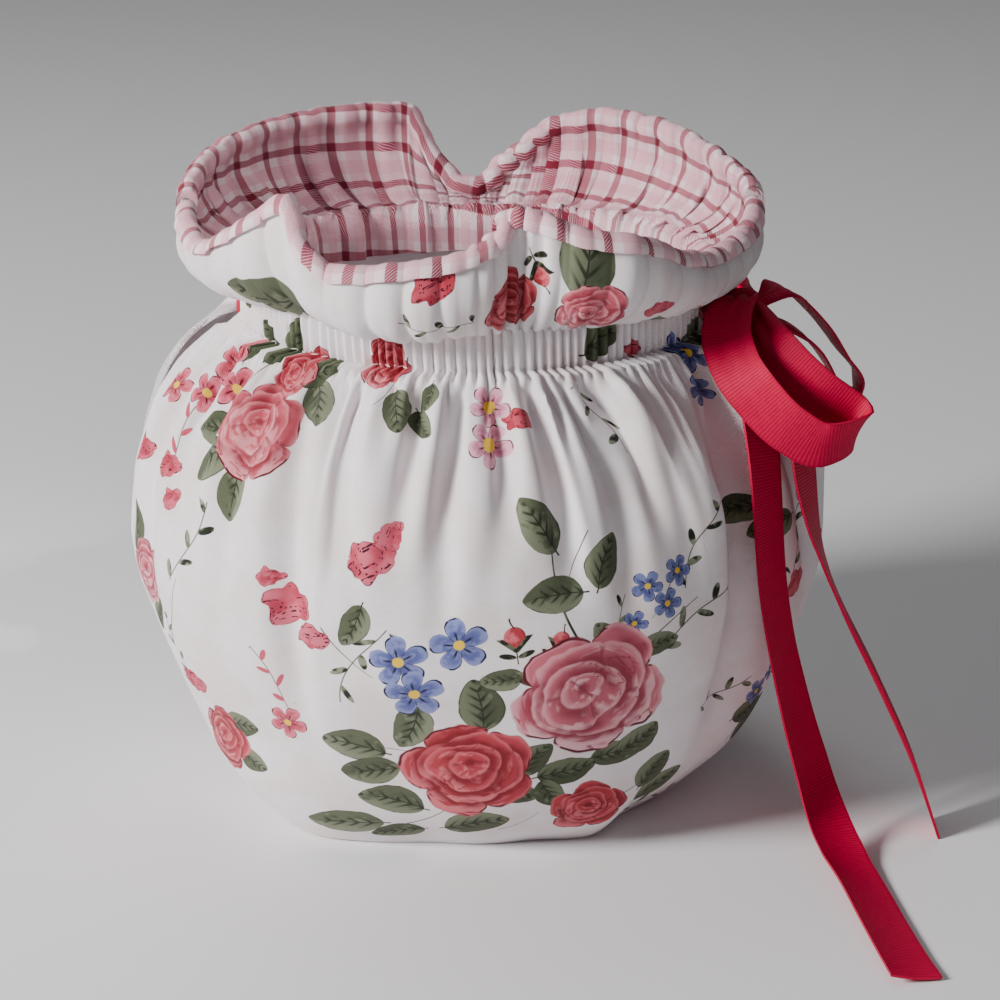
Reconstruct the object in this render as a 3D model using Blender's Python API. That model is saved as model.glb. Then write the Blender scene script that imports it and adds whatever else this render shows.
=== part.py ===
"""Tea cosy of floral cotton with a checked frill facing, hanging as it does over its pot.

Two padded panels, front and back, each run from the hem over a round belly to a shirred
neck band and a flared frill.  They are joined below the spout slit and the handle slit.
A checked facing lines each frill and rolls over its rim.  A flat ribbon runs through the
neck band and is tied in a bow beside the handle slit.

Sizes are in millimetres and become metres where a mesh is made.  +Z is up, the front
faces -Y, the spout slit faces -X and the handle slit faces +X.  The origin is under the
middle of the hem, on the surface that the cosy stands on.
"""

from collections import namedtuple
import math

import bmesh
import bpy
import numpy as np
from mathutils import Vector

MM = 0.001

# ---------------------------------------------------------------- driving sizes, mm
CLOTH = 2.0                 # a panel: printed cotton with its thin padding
FACING = 1.2                # the checked cotton inside the frill
RIBBON = 1.0                # thickness of the ribbon
RIBBON_WIDTH = 15.0
CLEARANCE = 0.3             # between pieces that are sewn or lie together
FACING_CLEARANCE = 1.0      # to the panel, so that 0.3 is left where their facets differ
BAND_BOTTOM = 151.0         # heights of the shirred neck band
BAND_TOP = 164.0
BAND_HALF_WIDTH = 72.0
BAND_HALF_DEPTH = 67.0
SLIT_BOTTOM = 58.0          # where the side seams end and the slits begin
HEM_TURN = 8.0              # width of the hem turned in flat on the table
HEM_RISE = 2.2              # thickness of that turned hem
LIP = 5.0                   # how far the facing rolls down over the outside
PLEAT_DEPTH = 0.55          # of the fine pleats of the neck band
CREASE_FADE = 26.0          # length over which a crease deepens below the band
CREASE_START = 0.18         # share of its depth that a crease has at the band
CREASE_HOLD = 0.35          # share of its length before a crease begins to fade
SPREAD_HEIGHT = 40.0        # height up to which the hem's own outline shows
EDGE_ANGLE = 9.0            # degrees beside a slit in which creases and spread die out
FRILL_START_RISE = 1.5      # how steeply the frill leaves the band
FRILL_FLARE = 0.75          # share of the flare reached by the frill's first handle
FRILL_BEND_HEIGHT = 0.45    # share of the frill's height where it bellies out
FRILL_BEND_DROOP = 0.6      # share of the droop reached there
MAX_GAP_SINE = 0.9          # keeps a slit narrower than its panel

COTTON_COLOR = (0.86, 0.78, 0.76)
CHECK_COLOR = (0.80, 0.42, 0.48)
RIBBON_COLOR = (0.42, 0.02, 0.06)
COTTON_ROUGHNESS = 0.85
RIBBON_ROUGHNESS = 0.6

Section = namedtuple("Section", "height half_width half_depth")
BELLY = [
    Section(0.0, 64.0, 58.0),
    Section(8.0, 74.0, 67.0),
    Section(16.0, 81.5, 74.5),
    Section(26.0, 88.0, 81.5),
    Section(38.0, 94.0, 87.5),
    Section(52.0, 100.0, 93.0),
    Section(68.0, 105.0, 97.5),
    Section(85.0, 108.0, 99.5),
    Section(105.0, 108.0, 98.0),
    Section(124.0, 103.5, 91.0),
    Section(138.0, 94.5, 81.0),
    Section(BAND_BOTTOM, 79.0, 69.0),
]

# The angle is in degrees from the middle of the panel, towards +X.
HemPlan = namedtuple("HemPlan", "angle spread")
FRONT_HEM = [
    HemPlan(-90, 1.0), HemPlan(-66, 6.5), HemPlan(-43, 12.5), HemPlan(-27, 8.0),
    HemPlan(-8, 2.5), HemPlan(10, 2.5), HemPlan(28, 5.5), HemPlan(42, -2.0),
    HemPlan(62, -1.0), HemPlan(90, 0.0),
]
BACK_HEM = [
    HemPlan(-90, 1.0), HemPlan(-60, 3.0), HemPlan(-35, -1.0), HemPlan(0, 2.0),
    HemPlan(30, 5.0), HemPlan(60, 1.0), HemPlan(90, 0.0),
]

# A crease runs from an angle at the band to an angle at its foot, where it has faded.
Crease = namedtuple("Crease", "top foot depth half_width foot_height")
FRONT_CREASES = [
    Crease(-77, -82, 3.0, 5.0, 80),
    Crease(-65, -71, 4.2, 6.0, 52),
    Crease(-53, -58, 3.2, 5.5, 84),
    Crease(-41, -46, 3.4, 5.0, 66),
    Crease(-31, -31, 5.6, 5.5, 18),
    Crease(-21, -19, 3.6, 4.6, 72),
    Crease(-12, -12, 2.6, 3.8, 104),
    Crease(-4, -6, 3.6, 4.6, 62),
    Crease(5, 6, 2.6, 3.8, 98),
    Crease(13, 15, 3.2, 4.4, 84),
    Crease(22, 25, 4.4, 5.0, 66),
    Crease(32, 37, 3.6, 5.0, 82),
    Crease(49, 51, 13.0, 9.5, 8),
    Crease(65, 69, 4.0, 5.5, 56),
    Crease(77, 81, 3.0, 5.0, 70),
]
BACK_CREASES = [
    Crease(-75, -80, 3.2, 6.0, 74),
    Crease(-58, -63, 4.4, 7.0, 56),
    Crease(-42, -45, 3.4, 6.0, 82),
    Crease(-28, -30, 5.0, 7.0, 34),
    Crease(-13, -14, 3.2, 6.0, 76),
    Crease(2, 2, 4.6, 6.5, 48),
    Crease(17, 19, 3.4, 6.0, 80),
    Crease(31, 34, 5.2, 7.0, 30),
    Crease(46, 49, 3.6, 6.0, 70),
    Crease(62, 67, 4.2, 6.5, 52),
    Crease(77, 81, 3.0, 5.5, 72),
]

# Half the opening between the two panels at the sides.
Slit = namedtuple("Slit", "height half_gap")
SEAM_HALF_GAP = 0.5 * CLEARANCE
SPOUT_SLIT = [
    Slit(0, SEAM_HALF_GAP), Slit(SLIT_BOTTOM, SEAM_HALF_GAP), Slit(72, 6.5), Slit(90, 13.0),
    Slit(112, 16.0), Slit(134, 14.5), Slit(BAND_BOTTOM, 10.5), Slit(BAND_TOP, 9.0),
]
HANDLE_SLIT = [
    Slit(0, SEAM_HALF_GAP), Slit(SLIT_BOTTOM, SEAM_HALF_GAP), Slit(72, 5.0), Slit(90, 9.5),
    Slit(112, 11.5), Slit(134, 11.0), Slit(BAND_BOTTOM, 9.5), Slit(BAND_TOP, 9.0),
]
RIM_HALF_GAP = 1.6

# The frill at stations across a panel: where its rim stands, how far it bellies out under
# the rim, and how far it droops over the band.
Frill = namedtuple("Frill", "angle radius height belly droop")
FRONT_FRILL = [
    Frill(-90, 89, 184, 7, 0),
    Frill(-71, 87, 178, 8, 1),
    Frill(-52, 85, 190, 7, 1),
    Frill(-42, 82, 199, 3, 0),
    Frill(-35, 86, 188, 4, 2),
    Frill(-28, 85, 182, 8, 5),
    Frill(-14, 82, 184, 10, 7),
    Frill(-3, 79, 187, 8, 5),
    Frill(4, 74, 191, 5, 1),
    Frill(9, 71, 198, 1, 0),
    Frill(15, 75, 196, 2, 0),
    Frill(23, 80, 192, 5, 1),
    Frill(34, 83, 189, 7, 2),
    Frill(48, 82, 181, 8, 3),
    Frill(60, 80, 178, 9, 3),
    Frill(76, 83, 180, 8, 1),
    Frill(90, 85, 185, 6, 0),
]
BACK_FRILL = [
    Frill(-90, 89, 185, 6, 0),
    Frill(-70, 90.5, 191, 5, 1),
    Frill(-47, 89, 195.5, 5, 1),
    Frill(-24, 84, 197, 4, 1),
    Frill(-15, 82, 196, 3, 0),
    Frill(-9, 77, 180, 4, 0),
    Frill(-1, 75, 173, 5, 1),
    Frill(7, 78, 180, 4, 1),
    Frill(18, 83, 192, 4, 1),
    Frill(32, 85, 196, 5, 2),
    Frill(48, 86, 194, 5, 2),
    Frill(67, 87, 188, 6, 1),
    Frill(90, 85, 186, 6, 0),
]

Panel = namedtuple("Panel", "name side columns fine rows creases hem frill")
FRONT = Panel("front", -1.0, 60, 3, 20, FRONT_CREASES, FRONT_HEM, FRONT_FRILL)
BACK = Panel("back", 1.0, 44, 4, 18, BACK_CREASES, BACK_HEM, BACK_FRILL)

BAND_LEVELS = [0.0, 1.0]                          # of the way up the neck band
FRILL_LEVELS = [0.14, 0.32, 0.54, 0.77, 1.0]      # of the way up the frill
FACING_FOOT = 0.25                                # of the way up the band, inside


# ---------------------------------------------------------------- curves and tables
def smooth(at, places, values):
    """A smooth curve through a table's values, without overshoot."""
    at = np.clip(np.asarray(at, float), places[0], places[-1])
    places = np.asarray(places, float)
    values = np.asarray(values, float)
    step = np.diff(places)
    rise = np.diff(values) / step
    slope = np.zeros(len(places))
    slope[0], slope[-1] = rise[0], rise[-1]
    same_way = rise[:-1] * rise[1:] > 0.0
    left, right = rise[:-1][same_way], rise[1:][same_way]
    slope[1:-1][same_way] = 2.0 * left * right / (left + right)
    cell = np.clip(np.searchsorted(places, at, side="right") - 1, 0, len(step) - 1)
    part = (at - places[cell]) / step[cell]
    bend = part * part * (3.0 - 2.0 * part)
    start_slope = part * (1.0 - part) ** 2 * step[cell] * slope[cell]
    end_slope = part * part * (part - 1.0) * step[cell] * slope[cell + 1]
    return values[cell] * (1.0 - bend) + values[cell + 1] * bend + start_slope + end_slope


def column(table, name):
    return [getattr(row, name) for row in table]


def look_up(table, at_name, value_name, at):
    return smooth(at, column(table, at_name), column(table, value_name))


def ease(value):
    value = np.clip(value, 0.0, 1.0)
    return value * value * (3.0 - 2.0 * value)


# ---------------------------------------------------------------- the panels' surface
def edge_angles(height, half_depth, rim_share=0.0):
    """Where a panel's two side edges stand, in degrees from its middle."""
    ends = []
    for slit in (SPOUT_SLIT, HANDLE_SLIT):
        gap = look_up(slit, "height", "half_gap", height)
        gap = gap + (RIM_HALF_GAP - gap) * ease(rim_share)
        ends.append(90.0 - math.degrees(math.asin(min(gap / half_depth, MAX_GAP_SINE))))
    return -ends[0], ends[1]


def crease_depth(panel, angle, height, radius):
    """How far the creases draw the cloth in at one level."""
    below_band = (BAND_BOTTOM - height) / CREASE_FADE
    deepening = CREASE_START + (1.0 - CREASE_START) * ease(below_band)
    depth = np.zeros_like(angle)
    for crease in panel.creases:
        fall = (BAND_BOTTOM - height) / (BAND_BOTTOM - crease.foot_height)
        fading = 1.0 - ease((fall - CREASE_HOLD) / (1.0 - CREASE_HOLD))
        middle = crease.top + (crease.foot - crease.top) * min(max(fall, 0.0), 1.0)
        away = np.radians(angle - middle) * radius
        depth += crease.depth * deepening * fading * np.exp(-(away / crease.half_width) ** 2)
    return depth


def body_row(panel, height):
    """One level of the belly, from the spout edge to the handle edge."""
    half_width = look_up(BELLY, "height", "half_width", height)
    half_depth = look_up(BELLY, "height", "half_depth", height)
    start, end = edge_angles(height, half_depth)
    angle = np.linspace(start, end, panel.columns + 1)
    toward_hem = 1.0 - ease(height / SPREAD_HEIGHT)
    spread = look_up(panel.hem, "angle", "spread", angle) * toward_hem
    drawn_in = crease_depth(panel, angle, height, half_width)
    near_edge = ease((90.0 - np.abs(angle)) / EDGE_ANGLE)
    offset = (spread - drawn_in) * near_edge
    turn = np.radians(angle)
    x = (half_width + offset) * np.sin(turn)
    y = panel.side * (half_depth + offset) * np.cos(turn)
    return np.stack([x, y, np.full_like(x, height)], axis=1)


def band_row(panel, share):
    height = BAND_BOTTOM + (BAND_TOP - BAND_BOTTOM) * share
    start, end = edge_angles(height, BAND_HALF_DEPTH)
    angle = np.linspace(start, end, panel.columns + 1)
    turn = np.radians(angle)
    x = BAND_HALF_WIDTH * np.sin(turn)
    y = panel.side * BAND_HALF_DEPTH * np.cos(turn)
    return np.stack([x, y, np.full_like(x, height)], axis=1)


def frill_row(panel, share):
    """One level of the frill, on a cubic curve from the band's top to the rim."""
    start, end = edge_angles(BAND_TOP, BAND_HALF_DEPTH, share)
    angle = np.linspace(start, end, panel.columns + 1)
    rim_radius = look_up(panel.frill, "angle", "radius", angle)
    rim_height = look_up(panel.frill, "angle", "height", angle)
    belly = look_up(panel.frill, "angle", "belly", angle)
    droop = look_up(panel.frill, "angle", "droop", angle)
    turn = np.radians(angle)
    neck = np.hypot(BAND_HALF_WIDTH * np.sin(turn), BAND_HALF_DEPTH * np.cos(turn))
    radii = (neck, neck + FRILL_FLARE * (rim_radius - neck), rim_radius + belly, rim_radius)
    bend_height = BAND_TOP + FRILL_BEND_HEIGHT * (rim_height - BAND_TOP)
    heights = (
        np.full_like(neck, BAND_TOP),
        BAND_TOP + FRILL_START_RISE - droop,
        bend_height - FRILL_BEND_DROOP * droop,
        rim_height,
    )
    weights = (
        (1.0 - share) ** 3,
        3.0 * share * (1.0 - share) ** 2,
        3.0 * share ** 2 * (1.0 - share),
        share ** 3,
    )
    radius = sum(weight * value for weight, value in zip(weights, radii))
    height = sum(weight * value for weight, value in zip(weights, heights))
    return np.stack([radius * np.sin(turn), panel.side * radius * np.cos(turn), height], axis=1)


def belly_levels(count):
    """Heights spaced evenly along the belly's side, from the hem to under the band."""
    fine = np.linspace(0.0, BAND_BOTTOM, 400)
    width = look_up(BELLY, "height", "half_width", fine)
    run = np.concatenate([[0.0], np.cumsum(np.hypot(np.diff(fine), np.diff(width)))])
    return np.interp(np.linspace(0.0, run[-1], count + 1), run, fine)[:-1]


def surface(panel):
    """The outer face of a panel as rows of points, and its normals, both hem to rim."""
    rows = [body_row(panel, height) for height in belly_levels(panel.rows)]
    rows += [band_row(panel, share) for share in BAND_LEVELS]
    rows += [frill_row(panel, share) for share in FRILL_LEVELS]
    points = np.array(rows)
    along = np.gradient(points, axis=1)
    up = np.gradient(points, axis=0)
    normals = np.cross(along, up) * -panel.side
    normals /= np.linalg.norm(normals, axis=2, keepdims=True)
    return points, normals


def pleated(panel, row):
    """The neck band's row again, with its fine pleats."""
    count = panel.columns * panel.fine
    places = np.linspace(0.0, panel.columns, count + 1)
    whole = np.arange(panel.columns + 1)
    fine = np.stack([np.interp(places, whole, row[:, axis]) for axis in range(3)], axis=1)
    out = fine * [1.0, 1.0, 0.0]
    out /= np.linalg.norm(out, axis=1, keepdims=True)
    wave = np.where(np.arange(count + 1) % 2 == 0, -1.0, 1.0)
    wave[0] = wave[-1] = 0.0
    return fine + out * (PLEAT_DEPTH * wave)[:, None]


# ---------------------------------------------------------------- making meshes
def stitch(bm, lower, upper, lower_at=None, upper_at=None):
    """Faces between two rows of vertices, which may differ in number.

    The places say how far along its row each vertex lies; without them it is evenly.
    """
    lower_at = np.linspace(0.0, 1.0, len(lower)) if lower_at is None else lower_at
    upper_at = np.linspace(0.0, 1.0, len(upper)) if upper_at is None else upper_at
    i = j = 0
    while i < len(lower) - 1 or j < len(upper) - 1:
        next_low = lower_at[i + 1] if i < len(lower) - 1 else math.inf
        next_up = upper_at[j + 1] if j < len(upper) - 1 else math.inf
        if abs(next_low - next_up) < 1e-9:
            bm.faces.new((lower[i], lower[i + 1], upper[j + 1], upper[j]))
            i, j = i + 1, j + 1
        elif next_low < next_up:
            bm.faces.new((lower[i], lower[i + 1], upper[j]))
            i += 1
        else:
            bm.faces.new((lower[i], upper[j + 1], upper[j]))
            j += 1


def solid_from_rows(name, one_side, other_side, color, roughness):
    """A closed sheet from the rows of its two sides, each from its foot to its top.

    A row is a pair of its level and its points.  Rows of one level face each other, so
    the levels say how the sheet's two ends are closed.
    """
    bm = bmesh.new()
    one_rows = [[bm.verts.new(Vector(point) * MM) for point in row] for _, row in one_side]
    other_rows = [[bm.verts.new(Vector(point) * MM) for point in row] for _, row in other_side]
    cycle = one_rows + other_rows[::-1]
    for lower, upper in zip(cycle, cycle[1:] + cycle[:1]):
        stitch(bm, lower, upper)
    one_at = [level for level, _ in one_side]
    other_at = [level for level, _ in other_side]
    for end in (0, -1):
        one_end = [row[end] for row in one_rows]
        other_end = [row[end] for row in other_rows]
        stitch(bm, one_end, other_end, one_at, other_at)
    bmesh.ops.triangulate(bm, faces=bm.faces[:])
    bmesh.ops.recalc_face_normals(bm, faces=bm.faces[:])
    return finish(name, bm, color, roughness)


def finish(name, bm, color, roughness):
    mesh = bpy.data.meshes.new(name)
    bm.to_mesh(mesh)
    bm.free()
    mesh.shade_smooth()
    piece = bpy.data.objects.new(name, mesh)
    bpy.context.scene.collection.objects.link(piece)
    material = bpy.data.materials.new(name + "_finish")
    material.use_nodes = True
    shader = material.node_tree.nodes["Principled BSDF"]
    shader.inputs["Base Color"].default_value = (*color, 1.0)
    shader.inputs["Roughness"].default_value = roughness
    shader.inputs["Metallic"].default_value = 0.0
    mesh.materials.append(material)
    return piece


def make_panel(panel):
    """A whole panel: belly, pleated band and frill, with the hem turned in flat."""
    points, normals = surface(panel)
    first_band = panel.rows
    last_band = first_band + len(BAND_LEVELS) - 1
    outside = list(enumerate(points))
    for i in range(first_band, last_band + 1):
        outside[i] = (i, pleated(panel, points[i]))

    inner = points - CLOTH * normals
    inner[:, 0, 1] = points[:, 0, 1]
    inner[:, -1, 1] = points[:, -1, 1]
    outward = points[0] * [1.0, BELLY[0].half_width / BELLY[0].half_depth, 0.0]
    outward /= np.linalg.norm(outward, axis=1, keepdims=True)
    turned = points[0] - HEM_TURN * outward
    turned[0, 1] = points[0, 0, 1]
    turned[-1, 1] = points[0, -1, 1]
    inside = [(0, turned), (0.5, turned + [0.0, 0.0, HEM_RISE])]
    inside += [(i, inner[i]) for i in range(1, first_band, 2)]
    inside += [(i, inner[i]) for i in range(first_band, len(points))]
    solid_from_rows(panel.name + "_panel", outside, inside, COTTON_COLOR, COTTON_ROUGHNESS)


# The rolled rim in section.  Depth is how far a point lies under the panel's outer face,
# rise how far it stands above the panel's top edge, and level which point it faces.
Roll = namedtuple("Roll", "level depth rise")
HIDDEN = CLOTH + FACING_CLEARANCE
SHOWN = HIDDEN + FACING
PUFF = 0.9                  # how far the roll swells beyond the facing's thickness
ROLL_SHOULDER = 0.8         # rise of the roll's shoulders
ROLL_CREST = 2.6            # rise of its crest
ROLL_INSIDE = [
    Roll(0, HIDDEN, 0.0),
    Roll(1, 0.5 * CLOTH, FACING_CLEARANCE),
    Roll(2, -FACING_CLEARANCE, 0.0),
    Roll(3, -FACING_CLEARANCE, -LIP),
]
ROLL_OUTSIDE = [
    Roll(-0.5, SHOWN + PUFF, -0.5 * LIP),
    Roll(0, SHOWN, ROLL_SHOULDER),
    Roll(1, 0.5 * CLOTH, ROLL_CREST),
    Roll(2, -FACING_CLEARANCE - FACING, ROLL_SHOULDER),
    Roll(2.5, -FACING_CLEARANCE - FACING - PUFF, -0.5 * LIP),
    Roll(3, -FACING_CLEARANCE - FACING, -LIP),
]


def make_facing(panel):
    """The checked facing: inside the band and frill, over the rim and down as a lip."""
    points, normals = surface(panel)
    first_band = panel.rows
    foot = points[first_band] + FACING_FOOT * (points[first_band + 1] - points[first_band])
    levels = [(foot, normals[first_band])]
    levels += [(points[i], normals[i]) for i in range(first_band + 1, len(points) - 1)]
    rim = points[-1]
    rim_normal = normals[-1]
    rim_up = points[-1] - points[-2]
    rim_up /= np.linalg.norm(rim_up, axis=1, keepdims=True)

    sides = []
    for depth, roll in ((HIDDEN, ROLL_INSIDE), (SHOWN, ROLL_OUTSIDE)):
        side = [(i, level - depth * normal) for i, (level, normal) in enumerate(levels)]
        for step in roll:
            row = rim - step.depth * rim_normal + step.rise * rim_up
            side.append((len(levels) + step.level, row))
        for _, row in side:
            for end in (0, -1):
                row[end, 1] = panel.side * max(abs(row[end, 1]), SEAM_HALF_GAP)
        sides.append(side)
    solid_from_rows(panel.name + "_facing", *sides, CHECK_COLOR, COTTON_ROUGHNESS)


# ---------------------------------------------------------------- the ribbon
# Stations along a ribbon: its middle, the direction across it, and its width there, which
# is less where the band's ends or the knot gather it.
Station = namedtuple("Station", "x y z across_x across_y across_z width")
KNOT_MIDDLE = (79.5, -22.0, 157.0)
KNOT_SIZE = (10.0, 13.0, 12.0)
KNOT_ROUNDING = 3.2
KNOT_ROUNDING_FACES = 3
BRIDGE = [
    Station(-70.4, -8.2, 157.5, 0.0, 0.0, 1.0, 13.0),
    Station(-72.6, -4.0, 157.5, 0.0, 0.0, 1.0, 13.0),
    Station(-73.4, 0.0, 157.5, 0.0, 0.0, 1.0, 13.0),
    Station(-72.6, 4.0, 157.5, 0.0, 0.0, 1.0, 13.0),
    Station(-70.4, 8.2, 157.5, 0.0, 0.0, 1.0, 13.0),
]
LEAD_FRONT = [
    Station(70.8, -8.0, 157.4, 0.0, 0.0, 1.0, 12.5),
    Station(75.6, -8.0, 157.6, 0.0, 0.0, 1.0, 10.5),
    Station(78.6, -14.8, 157.6, 0.0, 0.0, 1.0, 8.0),
]
LEAD_BACK = [
    Station(70.8, 7.8, 157.4, 0.0, 0.0, 1.0, 12.0),
    Station(76.6, 4.6, 158.0, 0.0, 0.0, 1.0, 11.0),
    Station(81.6, -4.0, 158.2, 0.0, 0.0, 1.0, 9.0),
    Station(82.0, -14.8, 158.0, 0.0, 0.0, 1.0, 8.0),
]
LOOP_FRONT = [
    Station(78.0, -29.6, 156.0, 0.96, -0.10, 0.15, 9.0),
    Station(73.0, -40.0, 155.0, 0.93, -0.05, 0.30, 13.5),
    Station(74.6, -51.0, 150.5, 0.86, 0.00, 0.46, RIBBON_WIDTH),
    Station(81.0, -59.0, 142.0, 0.72, -0.05, 0.68, RIBBON_WIDTH),
    Station(91.0, -62.0, 132.5, 0.52, -0.10, 0.86, RIBBON_WIDTH),
    Station(101.0, -61.0, 127.5, 0.40, -0.18, 0.91, RIBBON_WIDTH),
    Station(108.5, -58.0, 128.5, 0.34, -0.25, 0.91, RIBBON_WIDTH),
    Station(112.4, -54.0, 131.5, 0.34, -0.25, 0.90, RIBBON_WIDTH),
    Station(110.0, -50.0, 134.5, 0.42, -0.20, 0.88, RIBBON_WIDTH),
    Station(101.0, -47.0, 141.0, 0.54, -0.12, 0.83, RIBBON_WIDTH),
    Station(90.5, -43.0, 149.5, 0.60, -0.08, 0.80, 14.0),
    Station(83.0, -29.6, 158.0, 0.60, 0.00, 0.80, 9.0),
]
LOOP_BACK = [
    Station(86.9, -21.2, 160.4, 0.00, 1.00, 0.00, 8.0),
    Station(90.4, -19.6, 162.2, 0.00, 1.00, 0.00, 12.0),
    Station(94.5, -10.0, 159.8, -0.35, 0.93, 0.00, RIBBON_WIDTH),
    Station(104.0, -3.5, 150.0, -0.30, 0.95, 0.00, RIBBON_WIDTH),
    Station(112.0, 2.0, 138.0, -0.20, 0.98, 0.00, RIBBON_WIDTH),
    Station(118.0, 6.0, 128.0, -0.10, 1.00, 0.00, RIBBON_WIDTH),
    Station(118.0, 8.0, 122.0, 0.00, 1.00, 0.00, RIBBON_WIDTH),
    Station(114.0, 8.0, 121.0, 0.00, 1.00, 0.00, RIBBON_WIDTH),
    Station(110.0, 5.5, 129.5, -0.10, 1.00, 0.00, RIBBON_WIDTH),
    Station(102.0, -2.0, 142.0, -0.20, 0.98, 0.00, RIBBON_WIDTH),
    Station(91.4, -16.0, 151.4, -0.20, 0.95, 0.00, 12.0),
    Station(87.0, -20.8, 154.0, 0.00, 1.00, 0.00, 8.0),
]
TAIL_LONG = [
    Station(78.8, -25.0, 150.1, 0.95, 0.25, 0.00, 9.0),
    Station(79.5, -36.0, 147.6, 0.80, 0.55, 0.00, 11.5),
    Station(82.0, -48.0, 138.0, 0.68, 0.73, 0.00, RIBBON_WIDTH),
    Station(84.0, -55.5, 123.0, 0.64, 0.77, 0.00, RIBBON_WIDTH),
    Station(85.5, -59.0, 106.0, 0.60, 0.80, 0.00, RIBBON_WIDTH),
    Station(87.0, -60.0, 88.0, 0.58, 0.81, 0.00, RIBBON_WIDTH),
    Station(90.4, -59.5, 65.6, 0.56, 0.83, 0.00, RIBBON_WIDTH),
    Station(95.5, -58.5, 43.0, 0.62, 0.78, 0.00, RIBBON_WIDTH),
    Station(100.5, -58.5, 25.5, 0.70, 0.71, -0.02, RIBBON_WIDTH),
    Station(104.5, -61.5, 13.0, 0.80, 0.58, -0.06, RIBBON_WIDTH),
    Station(108.0, -69.0, 5.6, 0.90, 0.38, -0.14, RIBBON_WIDTH),
    Station(110.6, -81.0, 3.0, 0.95, 0.18, -0.22, RIBBON_WIDTH),
    Station(113.4, -97.0, 2.7, 0.96, 0.08, -0.26, RIBBON_WIDTH),
    Station(116.4, -120.0, 2.6, 0.96, 0.08, -0.24, RIBBON_WIDTH),
    Station(119.4, -140.0, 2.2, 0.96, 0.10, -0.20, RIBBON_WIDTH),
    Station(121.6, -152.0, 1.8, 0.96, 0.12, -0.14, RIBBON_WIDTH),
]
TAIL_SHORT = [
    Station(83.4, -17.6, 149.9, 0.60, 0.80, 0.00, 7.0),
    Station(90.0, -27.5, 146.2, 0.55, 0.80, 0.20, 10.5),
    Station(95.0, -41.0, 131.0, 0.48, 0.84, 0.10, RIBBON_WIDTH),
    Station(97.0, -48.5, 115.0, 0.46, 0.88, 0.00, RIBBON_WIDTH),
    Station(99.6, -49.8, 101.0, 0.30, 0.95, 0.00, RIBBON_WIDTH),
    Station(103.6, -50.0, 87.0, 0.08, 1.00, 0.00, RIBBON_WIDTH),
    Station(108.8, -50.0, 73.8, 0.00, 1.00, 0.00, RIBBON_WIDTH),
    Station(121.0, -50.0, 48.5, 0.00, 1.00, 0.00, RIBBON_WIDTH),
    Station(132.4, -50.0, 23.5, 0.00, 1.00, 0.00, RIBBON_WIDTH),
    Station(140.6, -50.0, 1.2, 0.00, 1.00, 0.00, RIBBON_WIDTH),
]


# How many faces each stretch of ribbon has along it.
Stretch = namedtuple("Stretch", "name stations faces")
STRETCHES = [
    Stretch("ribbon_bridge", BRIDGE, 8),
    Stretch("ribbon_lead_front", LEAD_FRONT, 6),
    Stretch("ribbon_lead_back", LEAD_BACK, 10),
    Stretch("ribbon_loop_front", LOOP_FRONT, 34),
    Stretch("ribbon_loop_back", LOOP_BACK, 34),
    Stretch("ribbon_tail_long", TAIL_LONG, 40),
    Stretch("ribbon_tail_short", TAIL_SHORT, 26),
]


def make_stretch(name, stations, faces):
    """A flat ribbon through its stations, as a strip given its thickness by Solidify."""
    table = np.array(stations, float)
    run = np.linalg.norm(np.diff(table[:, :3], axis=0), axis=1)
    run = np.concatenate([[0.0], np.cumsum(run)])
    places = np.linspace(0.0, run[-1], faces + 1)
    table = np.stack([smooth(places, run, values) for values in table.T], axis=1)
    middle, across, half_width = table[:, :3], table[:, 3:6], 0.5 * table[:, 6:]
    along = np.gradient(middle, axis=0)
    along /= np.linalg.norm(along, axis=1, keepdims=True)
    across -= along * np.sum(across * along, axis=1, keepdims=True)
    across /= np.linalg.norm(across, axis=1, keepdims=True)
    bm = bmesh.new()
    left = [bm.verts.new(Vector(point) * MM) for point in middle - half_width * across]
    right = [bm.verts.new(Vector(point) * MM) for point in middle + half_width * across]
    stitch(bm, left, right)
    piece = finish(name, bm, RIBBON_COLOR, RIBBON_ROUGHNESS)
    solidify = piece.modifiers.new("thickness", "SOLIDIFY")
    solidify.thickness = RIBBON * MM
    solidify.offset = 0.0


def make_knot():
    """The bow's knot: a turn of ribbon pulled tight, as a rounded block."""
    bm = bmesh.new()
    bmesh.ops.create_cube(bm, size=1.0)
    bmesh.ops.scale(bm, vec=Vector(KNOT_SIZE) * MM, verts=bm.verts)
    bmesh.ops.bevel(
        bm,
        geom=bm.edges[:],
        offset=KNOT_ROUNDING * MM,
        segments=KNOT_ROUNDING_FACES,
        profile=0.5,
        affect="EDGES",
    )
    knot = finish("ribbon_knot", bm, RIBBON_COLOR, RIBBON_ROUGHNESS)
    knot.location = Vector(KNOT_MIDDLE) * MM


def main():
    for old in list(bpy.data.objects):
        bpy.data.objects.remove(old)
    for panel in (FRONT, BACK):
        make_panel(panel)
        make_facing(panel)
    for stretch in STRETCHES:
        make_stretch(*stretch)
    make_knot()


main()
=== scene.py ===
import functools
import math
from collections import namedtuple

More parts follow.
